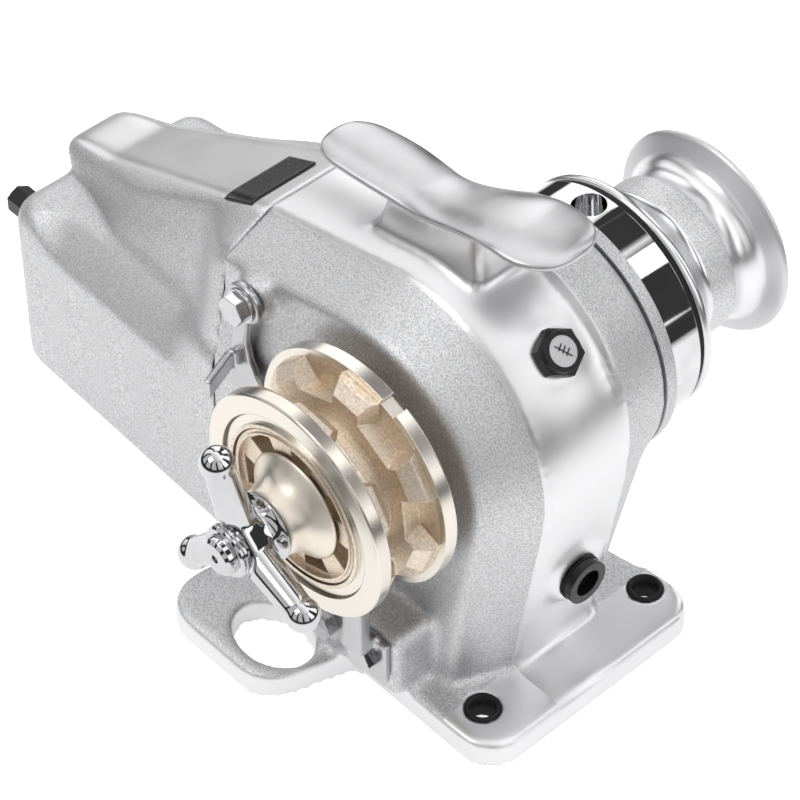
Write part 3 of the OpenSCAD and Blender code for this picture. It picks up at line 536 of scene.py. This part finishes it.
def shapeCover(place):
    look = coverLook
    x, y, z = place[:, 0].copy(), place[:, 1].copy(), place[:, 2].copy()
    low = (y - look["creaseY"]) * look["slopeY"] + (z - look["creaseZ"]) * look["slopeZ"]
    wallZ = look["ridgeZ"] + (x - look["ridgeX"]) * look["ridgeRise"] - look["creaseZ"]
    wallY = look["ridgeEdge"] - look["creaseY"]
    length = np.hypot(wallY, wallZ)
    normalY, normalZ = -wallZ / length, wallY / length
    steep = (y - look["creaseY"]) * normalY + (z - look["creaseZ"]) * normalZ
    byLow = steep > low
    rear = easeNp(-x, *look["rear"])
    over = np.maximum(np.minimum(low, steep), 0) * rear * (y < 0) * look["cutShare"]
    y = y - over * np.where(byLow, look["slopeY"], normalY)
    z = z - over * np.where(byLow, look["slopeZ"], normalZ)
    ridge = easeNp(z, *look["ridgeAbove"]) * easeNp(-x, *look["ridgeBehind"])
    ridge = ridge * easeNp(look["ridgeHalf"] - np.abs(y), 0.0, look["ridgeSoft"])
    far = easeNp(y, *look["farSide"]) * easeNp(-x, *look["farBehind"])
    far = far * easeNp(z, *look["farAbove"])
    return np.stack([x - look["ridgeReach"] * ridge, y, z - look["farDrop"] * far], axis=1)


def keepNothing(place):
    return np.zeros(len(place))


def pieceFrom(name, shell, material, body, replaced=()):
    bmesh.ops.recalc_face_normals(shell, faces=shell.faces)
    for face in shell.faces:
        face.smooth = True
    mesh = bpy.data.meshes.new(name)
    shell.to_mesh(mesh)
    shell.free()
    mesh.materials.append(material)
    obj = bpy.data.objects.new(name, mesh)
    bpy.context.scene.collection.objects.link(obj)
    if replaced:
        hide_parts(*replaced)
    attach(obj, body)
    print(name, "made with", len(mesh.polygons), "faces")
    return obj


def castSkin(nodeName, material, keepOf=keepNothing, shapeOf=None, mesh=None):
    look = skinLook[nodeName]
    mesh = mesh or nodes[nodeName].data.copy()
    obj = bpy.data.objects.new(look["name"], mesh)
    bpy.context.scene.collection.objects.link(obj)
    shell = bmesh.new()
    shell.from_mesh(mesh)
    bmesh.ops.remove_doubles(shell, verts=shell.verts, dist=0.00001)
    shell.to_mesh(mesh)
    shell.free()
    remesh = obj.modifiers.new("mould", "REMESH")
    remesh.mode = "VOXEL"
    remesh.voxel_size = look["voxel"]
    evaluated(obj)
    if shapeOf:
        count = len(obj.data.vertices)
        place = np.empty(count * 3)
        obj.data.vertices.foreach_get("co", place)
        place = shapeOf(place.reshape(-1, 3))
        obj.data.vertices.foreach_set("co", place.ravel())
    soften(obj.data, look["turns"], keepOf)
    obj.data.materials.clear()
    obj.data.materials.append(material)
    obj.data.polygons.foreach_set("use_smooth", [True] * len(obj.data.polygons))
    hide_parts(nodeName)
    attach(obj, look["body"])
    print(look["name"], "made with", 2 * len(obj.data.polygons), "triangles")
    return obj


# mooring horn: a crowned saddle with a thick rounded rim, laid over the cast stem
hornLook = {
    "rearX": -0.0973, "frontX": 0.0475,
    "rearZ": 0.2205, "frontZ": 0.2415,
    "rearRound": -0.080, "frontRound": 0.024,     # where the two ends begin to close
    "climb": (-0.042, 0.024),
    "square": 2.5,         # how full the ends are
    "blur": 0.012,         # the outline is eased over this length
    "stations": (-0.097, -0.073, -0.055, -0.037, -0.019, 0.000, 0.015, 0.030, 0.047),
    "half": (0.0150, 0.0172, 0.0170, 0.0153, 0.0163, 0.0186, 0.0212, 0.0214, 0.0210),
    "middle": (0.0038, 0.0068, 0.0082, 0.0081, 0.0080, 0.0064, 0.0065, 0.0074, 0.0088),
    "sections": 110, "around": 64,
    "fullWide": 0.55, "fullTop": 0.45, "fullLow": 0.5,
    "edge": 0.0021,        # half thickness of the rim
    "crown": 0.0026,
    "belly": 0.0052,
    "parting": 0.0005,     # the mould line round the rim
}


def hornShape(x):
    look = hornLook
    near = np.linspace(-look["blur"], look["blur"], 9)
    spread = x[:, None] + near[None, :]
    half = np.interp(spread, look["stations"], look["half"]).mean(axis=1)
    middle = np.interp(spread, look["stations"], look["middle"]).mean(axis=1)
    rear = np.clip((look["rearRound"] - x) / (look["rearRound"] - look["rearX"]), 0, 1)
    front = np.clip((x - look["frontRound"]) / (look["frontX"] - look["frontRound"]), 0, 1)
    closing = (1 - np.maximum(rear, front) ** look["square"]) ** (1 / look["square"])
    height = look["rearZ"] + (look["frontZ"] - look["rearZ"]) * easeNp(x, *look["climb"])
    return half * closing, middle, height, closing


tuckLook = {
    "above": (0.196, 0.204), "middle": (-0.0255, 0.0065), "sideMiddle": 0.005, "half": 0.032,
    "below": (-0.0085, -0.0045),                 # measured from the saddle's own height
    "flatten": 0.74, "sink": 0.0012, "narrow": 0.24, "shorten": 0.06,
}


def tuckHorn(place):
    # the cast saddle shrinks inside the finished one
    look = tuckLook
    x, y, z = place[:, 0], place[:, 1], place[:, 2]
    off = z - hornShape(np.clip(x, hornLook["rearX"], hornLook["frontX"]))[2]
    share = (easeNp(z, *look["above"]) * (np.abs(y - look["sideMiddle"]) < look["half"])
             * easeNp(off, *look["below"]))
    middleX, middleY = look["middle"]
    return np.stack([x - share * (x - middleX) * look["shorten"],
                     y - share * (y - middleY) * look["narrow"],
                     z - share * (off * look["flatten"] + look["sink"])], axis=1)


def hornSaddle(material):
    look = hornLook
    turn = np.linspace(0, 2 * math.pi, look["around"], endpoint=False)
    across, thick = np.cos(turn), np.sin(turn)
    flat = np.sign(across) * np.abs(across) ** look["fullWide"]
    top = np.where(thick > 0, np.abs(thick) ** look["fullTop"], 0)
    low = np.where(thick < 0, -np.abs(thick) ** look["fullLow"], 0)
    ridge = np.where(np.abs(thick) < 0.01, look["parting"], 0)
    steps = np.linspace(0, math.pi, look["sections"] + 2)[1:-1]
    middleX = (look["rearX"] + look["frontX"]) / 2
    length = (look["frontX"] - look["rearX"]) / 2
    xs = middleX - length * np.cos(steps) * 0.99995
    shell = bmesh.new()
    rings = []
    for x, half, middle, z, closing in zip(xs, *hornShape(xs)):
        rim = look["edge"] * min(1.0, closing * 1.4)
        inner = (1 - flat ** 2) ** 0.9 * closing
        height = top * (rim + look["crown"] * inner)
        height = height + low * (rim + (look["belly"] - look["edge"]) * inner)
        wide = flat * (half + ridge)
        rings.append([shell.verts.new((float(x), float(middle + a), float(z + h)))
                      for a, h in zip(wide, height)])
    for ringA, ringB in zip(rings, rings[1:]):
        for k in range(look["around"]):
            j = (k + 1) % look["around"]
            shell.faces.new((ringA[k], ringB[k], ringB[j], ringA[j]))
    for ring in (rings[0], rings[-1]):
        shell.faces.new(ring)
    bmesh.ops.triangulate(shell, faces=[f for f in shell.faces if len(f.verts) > 4])
    return pieceFrom("hornSaddle", shell, material, "base")


# clutch handle: three ball ended arms on a hexagonal hub with a round skirt
handleLook = {
    "middle": (0.0, -0.1354, 0.140),
    "turn": 105.0,          # first arm, degrees round the shaft
    "tilt": 4.5,
    "reach": 0.0420,
    "hubFlat": 0.0122, "hubNear": -0.1402, "hubFar": -0.1300, "flatWithin": 0.0136,
    "skirt": ((-0.1310, 0.0119), (-0.1280, 0.0126), (-0.1258, 0.0142), (-0.1246, 0.0164),
              (-0.1234, 0.0167)),
    "lap": 0.0001,          # neighbouring rings of the skirt run into each other
    "root": 0.0086, "waist": 0.0072, "top": 0.0066, "ball": 0.0078, "waistAt": 0.70,
}


def coneBetween(shell, start, end, startR, endR, sides=48):
    start, end = Vector(start), Vector(end)
    turned = (end - start).to_track_quat("Z", "Y").to_matrix().to_4x4()
    place = Matrix.Translation((start + end) / 2) @ turned
    bmesh.ops.create_cone(shell, cap_ends=True, segments=sides, radius1=startR, radius2=endR,
                          depth=(end - start).length, matrix=place)


def tuckHandle(place):
    # flat near the retainer, so that the handle can slide out along the shaft
    reach = np.hypot(place[:, 0] - handleLook["middle"][0], place[:, 2] - shaftZ)
    flat = np.maximum(place[:, 1], handleLook["hubNear"])
    place[:, 1] = np.where(reach < handleLook["flatWithin"], flat, place[:, 1])
    return place


def handleForms():
    look = handleLook
    middle = Vector(look["middle"])
    tilt = math.radians(look["tilt"])
    shell = bmesh.new()
    for k in range(3):
        angle = math.radians(-look["turn"] - 120 * k)
        flat = Vector((math.cos(angle), 0, -math.sin(angle)))
        along = flat * math.cos(tilt) + Vector((0, -1, 0)) * math.sin(tilt)
        end = middle + along * look["reach"]
        waist = middle + along * (look["reach"] * look["waistAt"])
        coneBetween(shell, middle, waist, look["root"], look["waist"])
        coneBetween(shell, waist, end, look["waist"], look["top"])
        bmesh.ops.create_uvsphere(shell, u_segments=48, v_segments=28, radius=look["ball"],
                                  matrix=Matrix.Translation(end))
    x, z = middle.x, middle.z
    spin = Matrix.Rotation(math.radians(look["turn"] + 60), 4, "Y")
    hubMiddle = Vector((x, (look["hubNear"] + look["hubFar"]) / 2, z))
    hub = Matrix.Translation(hubMiddle) @ spin @ Matrix.Rotation(math.radians(90), 4, "X")
    hub = hub @ Matrix.Rotation(math.radians(30), 4, "Z")
    corner = look["hubFlat"] / math.cos(math.pi / 6)
    bmesh.ops.create_cone(shell, cap_ends=True, segments=6, radius1=corner, radius2=corner,
                          depth=look["hubFar"] - look["hubNear"], matrix=hub)
    for (yA, rA), (yB, rB) in zip(look["skirt"], look["skirt"][1:]):
        start, end = (x, yA - look["lap"], z), (x, yB + look["lap"], z)
        coneBetween(shell, start, end, rA, rB, 96)
    bmesh.ops.recalc_face_normals(shell, faces=shell.faces)
    mesh = bpy.data.meshes.new("handleForms")
    shell.to_mesh(mesh)
    shell.free()
    return mesh


# turned forms: a closed section of (place along the shaft, radius) spun round the shaft
def turnedPiece(name, section, material, body, replaced=(), sides=180):
    shell = bmesh.new()
    ring = [shell.verts.new((r, y, shaftZ)) for y, r in section]
    edges = [shell.edges.new((ring[k - 1], ring[k])) for k in range(len(ring))]
    bmesh.ops.spin(shell, geom=ring + edges, cent=(0, 0, shaftZ), axis=(0, 1, 0),
                   angle=2 * math.pi, steps=sides, use_merge=True)
    bmesh.ops.remove_doubles(shell, verts=shell.verts, dist=0.000002)
    return pieceFrom(name, shell, material, body, replaced)


def roundedSection(corners, fine=0.0006, turns=5):
    # short straight runs stay, long ones are cut up, then the outline is eased a little
    points = []
    for (yA, rA), (yB, rB) in zip(corners, corners[1:] + corners[:1]):
        count = max(1, int(math.hypot(yB - yA, rB - rA) / fine))
        points += [(yA + (yB - yA) * k / count, rA + (rB - rA) * k / count)
                   for k in range(count)]
    place = np.array(points)
    for turn in range(turns):
        place = place * 0.5 + (np.roll(place, 1, axis=0) + np.roll(place, -1, axis=0)) * 0.25
    return [tuple(map(float, p)) for p in place]


# pale flared cone between the handle and the chain wheel
coneLook = [(-0.1229, 0.0100), (-0.1229, 0.0150), (-0.1222, 0.0158), (-0.1200, 0.0162),
            (-0.1170, 0.0170), (-0.1140, 0.0184), (-0.1115, 0.0206), (-0.1090, 0.0238),
            (-0.1074, 0.0262), (-0.1064, 0.0268), (-0.1062, 0.0260), (-0.1085, 0.0215),
            (-0.1105, 0.0196), (-0.1105, 0.0100)]

# rope drum, as turned: lip, step, satin neck, cast body, polished cove and flange
drumSection = [(0.0821, 0.0100), (0.0821, 0.0574), (0.0828, 0.0584), (0.0862, 0.0584),
               (0.0870, 0.0574), (0.0880, 0.0560), (0.0890, 0.0520), (0.0910, 0.0484),
               (0.0936, 0.0462), (0.0962, 0.0450), (0.0965, 0.0440), (0.0990, 0.0420),
               (0.1030, 0.0394), (0.1068, 0.0383), (0.1074, 0.0390), (0.1110, 0.0395),
               (0.1180, 0.0398), (0.1216, 0.0395), (0.1222, 0.0386), (0.1250, 0.0376),
               (0.1290, 0.0374), (0.1325, 0.0382), (0.1350, 0.0396), (0.1364, 0.0408),
               (0.1376, 0.0428), (0.1400, 0.0480), (0.1416, 0.0512), (0.1424, 0.0517),
               (0.1439, 0.0516), (0.1439, 0.0270), (0.1310, 0.0262), (0.1310, 0.0100)]


housingSkin = castSkin("main_housing", housingCast, keepHousing, tuckHorn)
coverSkin = castSkin("motor_cover", coverCast, keepCover, shapeCover)
hornSaddle(hornSatin)
castSkin("chain_guide", bracketSteel)
castSkin("chain_stripper", bracketSteel)
castSkin("clutch_handle", chrome, shapeOf=tuckHandle, mesh=handleForms())
turnedPiece("coneFlare", roundedSection(coneLook), coneBronze, "cone", ("outer_cone",))
turnedPiece("drumTurned", roundedSection(drumSection), drumCast, "drive",
            ("rope_drum",))


# geometry node trees: named inputs, one plain mesh at the end
def newTree(name, sizes):
    tree = bpy.data.node_groups.new(name, "GeometryNodeTree")
    for label, kind, value in sizes:
        socket = tree.interface.new_socket(label, in_out="INPUT", socket_type="NodeSocket" + kind)
        if value is not None:
            socket.default_value = value
    tree.interface.new_socket("Geometry", in_out="OUTPUT", socket_type="NodeSocketGeometry")
    return tree, tree.nodes.new("NodeGroupInput").outputs, tree.nodes.new("NodeGroupOutput")


def grow(name, tree, values, body):
    obj = bpy.data.objects.new(name, bpy.data.meshes.new(name))
    bpy.context.scene.collection.objects.link(obj)
    maker = obj.modifiers.new("maker", "NODES")
    maker.node_group = tree
    for item in tree.interface.items_tree:
        if item.item_type == "SOCKET" and item.in_out == "INPUT" and item.name in values:
            maker[item.identifier] = values[item.name]
    evaluated(obj)
    shell = bmesh.new()
    shell.from_mesh(obj.data)
    bmesh.ops.remove_doubles(shell, verts=shell.verts, dist=0.000002)
    bmesh.ops.recalc_face_normals(shell, faces=shell.faces)
    shell.to_mesh(obj.data)
    shell.free()
    if body:
        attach(obj, body)
    print(name, "grown with", len(obj.data.polygons), "faces")
    return obj


def finishTree(tree, last, out, material):
    solid = addNode(tree, "GeometryNodeRealizeInstances", {0: last})
    painted = addNode(tree, "GeometryNodeSetMaterial", {0: solid.outputs[0]})
    painted.inputs["Material"].default_value = material
    tree.links.new(painted.outputs[0], out.inputs[0])


# thread on the free end of the shaft
threadLook = {"radius": 0.0088, "start": -0.1475, "length": 0.0032, "turns": 3.0,
              "ridge": 0.00042}


def shaftThread():
    tree, given, out = newTree("threadTree", [
        ("Radius", "Float", 0.0088), ("Length", "Float", 0.004), ("Turns", "Float", 3.0),
        ("Ridge", "Float", 0.0004), ("Start", "Float", 0.0), ("Height", "Float", 0.14)])
    path = addNode(tree, "GeometryNodeCurveSpiral",
                   {"Resolution": 48, "Rotations": given["Turns"], "Start Radius": given["Radius"],
                    "End Radius": given["Radius"], "Height": given["Length"]})
    section = addNode(tree, "GeometryNodeCurvePrimitiveCircle",
                      {"Resolution": 8, "Radius": given["Ridge"]})
    wire = addNode(tree, "GeometryNodeCurveToMesh",
                   {"Curve": path.outputs[0], "Profile Curve": section.outputs[0],
                    "Fill Caps": True})
    smooth = addNode(tree, "GeometryNodeSetShadeSmooth", {0: wire.outputs[0]})
    place = addNode(tree, "ShaderNodeCombineXYZ", {1: given["Start"], 2: given["Height"]})
    turned = addNode(tree, "GeometryNodeTransform",
                     {"Geometry": smooth.outputs[0], "Translation": place.outputs[0],
                      "Rotation": (math.radians(-90), 0, 0)})
    finishTree(tree, turned.outputs[0], out, chrome)
    look = threadLook
    return grow("shaftThread", tree, {"Radius": look["radius"], "Length": look["length"],
                                      "Turns": look["turns"], "Ridge": look["ridge"],
                                      "Start": look["start"], "Height": shaftZ},
                "drive")


shaftThread()


# black rubber sleeves in the two bolt holes
sleeveLook = {"outer": 0.00785, "inner": 0.0064, "top": 0.0146, "bottom": 0.0004,
              "x": 0.060, "spacing": 0.104}


def boltSleeves():
    tree, given, out = newTree("sleeveTree", [
        ("Outer", "Float", 0.0078), ("Inner", "Float", 0.0064), ("Height", "Float", 0.014),
        ("Middle", "Vector", (0, 0, 0)), ("Spacing", "Vector", (0, 0.1, 0)),
        ("Count", "Int", 2)])
    wall = maths(tree, "SUBTRACT", given["Outer"], given["Inner"])
    centre = maths(tree, "MULTIPLY", maths(tree, "ADD", given["Outer"], given["Inner"]), 0.5)
    ring = addNode(tree, "GeometryNodeCurvePrimitiveCircle", {"Resolution": 72, "Radius": centre})
    section = addNode(tree, "GeometryNodeCurvePrimitiveQuadrilateral",
                      {"Width": wall, "Height": given["Height"]})
    tube = addNode(tree, "GeometryNodeCurveToMesh",
                   {"Curve": ring.outputs[0], "Profile Curve": section.outputs[0]})
    line = addNode(tree, "GeometryNodeMeshLine",
                   {"Count": given["Count"], "Start Location": given["Middle"],
                    "Offset": given["Spacing"]})
    spread = addNode(tree, "GeometryNodeInstanceOnPoints",
                     {"Points": line.outputs[0], "Instance": tube.outputs[0]})
    finishTree(tree, spread.outputs[0], out, blackRubber)
    look = sleeveLook
    height = look["top"] - look["bottom"]
    start = (look["x"], -look["spacing"] / 2, (look["top"] + look["bottom"]) / 2)
    return grow("boltSleeves", tree, {"Outer": look["outer"], "Inner": look["inner"],
                                      "Height": height, "Middle": start, "Count": 2,
                                      "Spacing": (0, look["spacing"], 0)},
                "base")


boltSleeves()


# blank dark plate wrapped over the cover's ridge
plateLook = {"middle": (-0.1281, -0.0068), "length": 0.0182, "width": 0.0386,
             "lift": 0.0003, "thick": 0.0006}


def wrappedPlate():
    tree, given, out = newTree("plateTree", [
        ("Surface", "Object", None), ("Length", "Float", 0.02), ("Width", "Float", 0.04),
        ("Place", "Vector", (0, 0, 0.3)), ("Lift", "Float", 0.0003)])
    grid = addNode(tree, "GeometryNodeMeshGrid",
                   {"Size X": given["Length"], "Size Y": given["Width"], "Vertices X": 16,
                    "Vertices Y": 40})
    moved = addNode(tree, "GeometryNodeTransform",
                    {"Geometry": grid.outputs[0], "Translation": given["Place"]})
    surface = addNode(tree, "GeometryNodeObjectInfo", {"Object": given["Surface"]},
                      transform_space="ORIGINAL")
    hit = addNode(tree, "GeometryNodeRaycast",
                  {"Target Geometry": surface.outputs["Geometry"],
                   "Ray Direction": (0.0, 0.0, -1.0), "Ray Length": 1.0})
    lifted = addNode(tree, "ShaderNodeVectorMath",
                     {0: hit.outputs["Hit Normal"], "Scale": given["Lift"]}, operation="SCALE")
    spot = addNode(tree, "ShaderNodeVectorMath",
                   {0: hit.outputs["Hit Position"], 1: lifted.outputs[0]}, operation="ADD")
    laid = addNode(tree, "GeometryNodeSetPosition",
                   {"Geometry": moved.outputs[0], "Position": spot.outputs[0]})
    smooth = addNode(tree, "GeometryNodeSetShadeSmooth", {0: laid.outputs[0]})
    finishTree(tree, smooth.outputs[0], out, plateBlack)
    look = plateLook
    obj = grow("ridgePlate", tree, {"Surface": coverSkin, "Length": look["length"],
                                    "Width": look["width"], "Lift": look["lift"],
                                    "Place": (look["middle"][0], look["middle"][1], 0.3)},
               None)
    wall = obj.modifiers.new("wall", "SOLIDIFY")
    wall.thickness = look["thick"]
    wall.offset = 1.0 if obj.data.polygons[0].normal.z > 0 else -1.0
    evaluated(obj)
    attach(obj, "base")
    return obj


wrappedPlate()


# level marks on the sight glass
sightLook = {"side": 0.002, "proud": 0.00035, "tilt": 42.0, "discR": 0.0082,
             "discThick": 0.0016, "discAt": 0.0058, "marksAt": 0.0068, "marksTurn": 35.0,
             "marks": 3, "gap": 0.0021, "length": 0.0036, "width": 0.00045, "thick": 0.0003}


def sightFrame():
    look = sightLook
    tilt = math.radians(look["tilt"])
    out = Vector((math.sin(tilt), 0, math.cos(tilt)))
    middle = Vector((caseX, look["side"], caseZ)) + out * (caseR + look["proud"])
    return Matrix.Translation(middle) @ Matrix.Rotation(tilt, 4, "Y")


def sightMarks():
    tree, given, out = newTree("markTree", [
        ("Count", "Int", 3), ("Gap", "Vector", (0, 0, 0)), ("First", "Vector", (0, 0, 0)),
        ("Size", "Vector", (0.001, 0.001, 0.001)), ("Bar", "Vector", (0.001, 0.001, 0.001))])
    line = addNode(tree, "GeometryNodeMeshLine",
                   {"Count": given["Count"], "Start Location": given["First"],
                    "Offset": given["Gap"]})
    mark = addNode(tree, "GeometryNodeMeshCube", {"Size": given["Size"]})
    spread = addNode(tree, "GeometryNodeInstanceOnPoints",
                     {"Points": line.outputs[0], "Instance": mark.outputs[0]})
    bar = addNode(tree, "GeometryNodeMeshCube", {"Size": given["Bar"]})
    both = addNode(tree, "GeometryNodeJoinGeometry")
    tree.links.new(spread.outputs[0], both.inputs[0])
    tree.links.new(bar.outputs[0], both.inputs[0])
    finishTree(tree, both.outputs[0], out, blackPlastic)
    look = sightLook
    obj = grow("levelMarks", tree, {
        "Count": look["marks"], "Gap": (look["gap"], 0, 0), "First": (-look["gap"], 0.0008, 0),
        "Size": (look["width"], look["length"], look["thick"]),
        "Bar": (look["gap"] * 4.4, look["width"], look["thick"])}, None)
    obj.data.transform(sightFrame() @ Matrix.Translation((0, 0, look["marksAt"]))
                       @ Matrix.Rotation(math.radians(look["marksTurn"]), 4, "Z"))
    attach(obj, "base")
    return obj


def sightDisc():
    look = sightLook
    place = sightFrame() @ Matrix.Translation((0, 0, look["discAt"]))
    shell = bmesh.new()
    bmesh.ops.create_cone(shell, cap_ends=True, segments=64, radius1=look["discR"],
                          radius2=look["discR"] - 0.0002, depth=look["discThick"], matrix=place)
    mesh = bpy.data.meshes.new("sightFace")
    shell.to_mesh(mesh)
    shell.free()
    mesh.materials.append(windowFace)
    obj = bpy.data.objects.new("sightFace", mesh)
    bpy.context.scene.collection.objects.link(obj)
    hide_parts("sight_glass_window")
    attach(obj, "base")
    return obj


sightDisc()
sightMarks()


# studio: pale floor, soft lamps and a room of bright panels, brightest behind the drum
studio = {
    "floorZ": -0.0005,
    "floorColour": (0.80, 0.80, 0.80, 1), "floorFarColour": (0.05, 0.05, 0.05, 1),
    "floorFades": (0.60, 0.90),             # the floor that reflections see ends here
    "floorSeen": 0.75,                      # lift for the camera
    "floorMirrored": 0.45,                  # lift in reflections
    "lamps": {
        "key": {"place": (-0.5, -1.3, 1.7), "size": 0.9, "power": 9.0},
        "fill": {"place": (1.7, -0.1, 1.3), "size": 1.0, "power": 1.5},
    },
    "nearLevel": 0.72, "farLevel": 1.70, "levelAcross": (-0.45, 0.45),
    "horizon": (0.10, 0.03),                # dark band above the floor
    "flag": ((0.24, 0.10), (0.30, 0.42), (0.70, 0.80)),   # dark card high behind: x, y, z
    "stripes": 9.0, "stripeTurn": 0.9, "stripeLean": 2.0,  # dark gaps between the panels
    "stripeLimits": (0.55, -0.05), "stripeSoft": 0.12,     # chain side, drum side
    "drumSide": ((-0.62, -0.40), (0.10, 0.40)),            # x, y
    "gapLevel": 0.03,
    "ceiling": (0.84, 0.78),
}


def softLamp(name, lamp):
    data = bpy.data.lights.new(name, "AREA")
    data.shape = "SQUARE"
    data.size = lamp["size"]
    data.energy = lamp["power"]
    obj = bpy.data.objects.new(name, data)
    bpy.context.scene.collection.objects.link(obj)
    obj.location = lamp["place"]
    aim = Vector((-0.05, 0, 0.1)) - Vector(lamp["place"])
    obj.rotation_euler = aim.to_track_quat("-Z", "Y").to_euler()


def buildFloor():
    mesh = bpy.data.meshes.new("studioFloor")
    s, z = 6.0, studio["floorZ"]
    mesh.from_pydata([(-s, -s, z), (s, -s, z), (s, s, z), (-s, s, z)], [], [(0, 1, 2, 3)])
    floor = bpy.data.objects.new("studioFloor", mesh)
    bpy.context.scene.collection.objects.link(floor)
    material = bpy.data.materials.new("paleFloor")
    material.use_nodes = True
    tree = material.node_tree
    tree.nodes.clear()
    out = tree.nodes.new("ShaderNodeOutputMaterial")
    path = tree.nodes.new("ShaderNodeLightPath")
    x, y, z = splitPoint(tree, objectPoint(tree))
    away = maths(tree, "SQRT", maths(tree, "ADD", maths(tree, "MULTIPLY", x, x),
                                     maths(tree, "MULTIPLY", y, y)))
    near = span(tree, away, *studio["floorFades"], 1.0, 0.0, False)
    kept = maths(tree, "MAXIMUM", near, path.outputs["Is Camera Ray"])
    colour = mixColour(tree, kept, studio["floorFarColour"], studio["floorColour"])
    matt = addNode(tree, "ShaderNodeBsdfDiffuse", {"Color": colour})
    mirrored = maths(tree, "MULTIPLY", near,
                     maths(tree, "MAXIMUM", path.outputs["Is Glossy Ray"],
                           path.outputs["Is Transmission Ray"]))
    lift = maths(tree, "ADD",
                 maths(tree, "MULTIPLY", path.outputs["Is Camera Ray"], studio["floorSeen"]),
                 maths(tree, "MULTIPLY", mirrored, studio["floorMirrored"]))
    glow = addNode(tree, "ShaderNodeEmission", {"Color": (1, 1, 1, 1), "Strength": lift})
    both = addNode(tree, "ShaderNodeAddShader")
    tree.links.new(matt.outputs[0], both.inputs[0])
    tree.links.new(glow.outputs[0], both.inputs[1])
    tree.links.new(both.outputs[0], out.inputs["Surface"])
    mesh.materials.append(material)


def buildRoom():
    world = bpy.data.worlds.new("softRoom")
    bpy.context.scene.world = world
    world.use_nodes = True
    tree = world.node_tree
    tree.nodes.clear()
    out = tree.nodes.new("ShaderNodeOutputWorld")
    x, y, z = splitPoint(tree, tree.nodes.new("ShaderNodeTexCoord").outputs["Generated"])
    dark = span(tree, z, *studio["horizon"])
    flagX, flagY, flagZ = studio["flag"]
    flag = maths(tree, "MULTIPLY", span(tree, z, *flagZ), span(tree, y, *flagY))
    flag = maths(tree, "MULTIPLY", flag, span(tree, x, *flagX))
    dark = maths(tree, "MAXIMUM", dark, flag)
    turn = maths(tree, "MULTIPLY", maths(tree, "ARCTAN2", y, x), studio["stripes"])
    lean = maths(tree, "MULTIPLY", z, studio["stripeLean"])
    lean = maths(tree, "ADD", lean, studio["stripeTurn"])
    wave = maths(tree, "SINE", maths(tree, "ADD", turn, lean))
    sideX, sideY = studio["drumSide"]
    farSide = maths(tree, "MULTIPLY", span(tree, y, *sideY), span(tree, x, *sideX))
    limit = span(tree, farSide, 0.0, 1.0, *studio["stripeLimits"], False)
    gap = span(tree, maths(tree, "SUBTRACT", wave, limit), 0.0, studio["stripeSoft"])
    gap = maths(tree, "MULTIPLY", gap, span(tree, z, *studio["ceiling"]))
    dark = maths(tree, "MAXIMUM", dark, gap)
    bright = span(tree, y, *studio["levelAcross"], studio["nearLevel"], studio["farLevel"])
    level = span(tree, dark, 0.0, 1.0, 1.0, studio["gapLevel"], False)
    level = maths(tree, "MULTIPLY", level, bright)
    room = addNode(tree, "ShaderNodeCombineColor", {0: level, 1: level, 2: level}).outputs[0]
    path = tree.nodes.new("ShaderNodeLightPath")
    white = maths(tree, "MAXIMUM", path.outputs["Is Camera Ray"],
                  path.outputs["Is Transmission Ray"])
    colour = mixColour(tree, white, room, (1, 1, 1, 1))
    shell = addNode(tree, "ShaderNodeBackground", {"Color": colour, "Strength": 1.0})
    tree.links.new(shell.outputs[0], out.inputs["Surface"])


for name, lamp in studio["lamps"].items():
    softLamp(name + "Lamp", lamp)
buildFloor()
buildRoom()
print("studio ready")
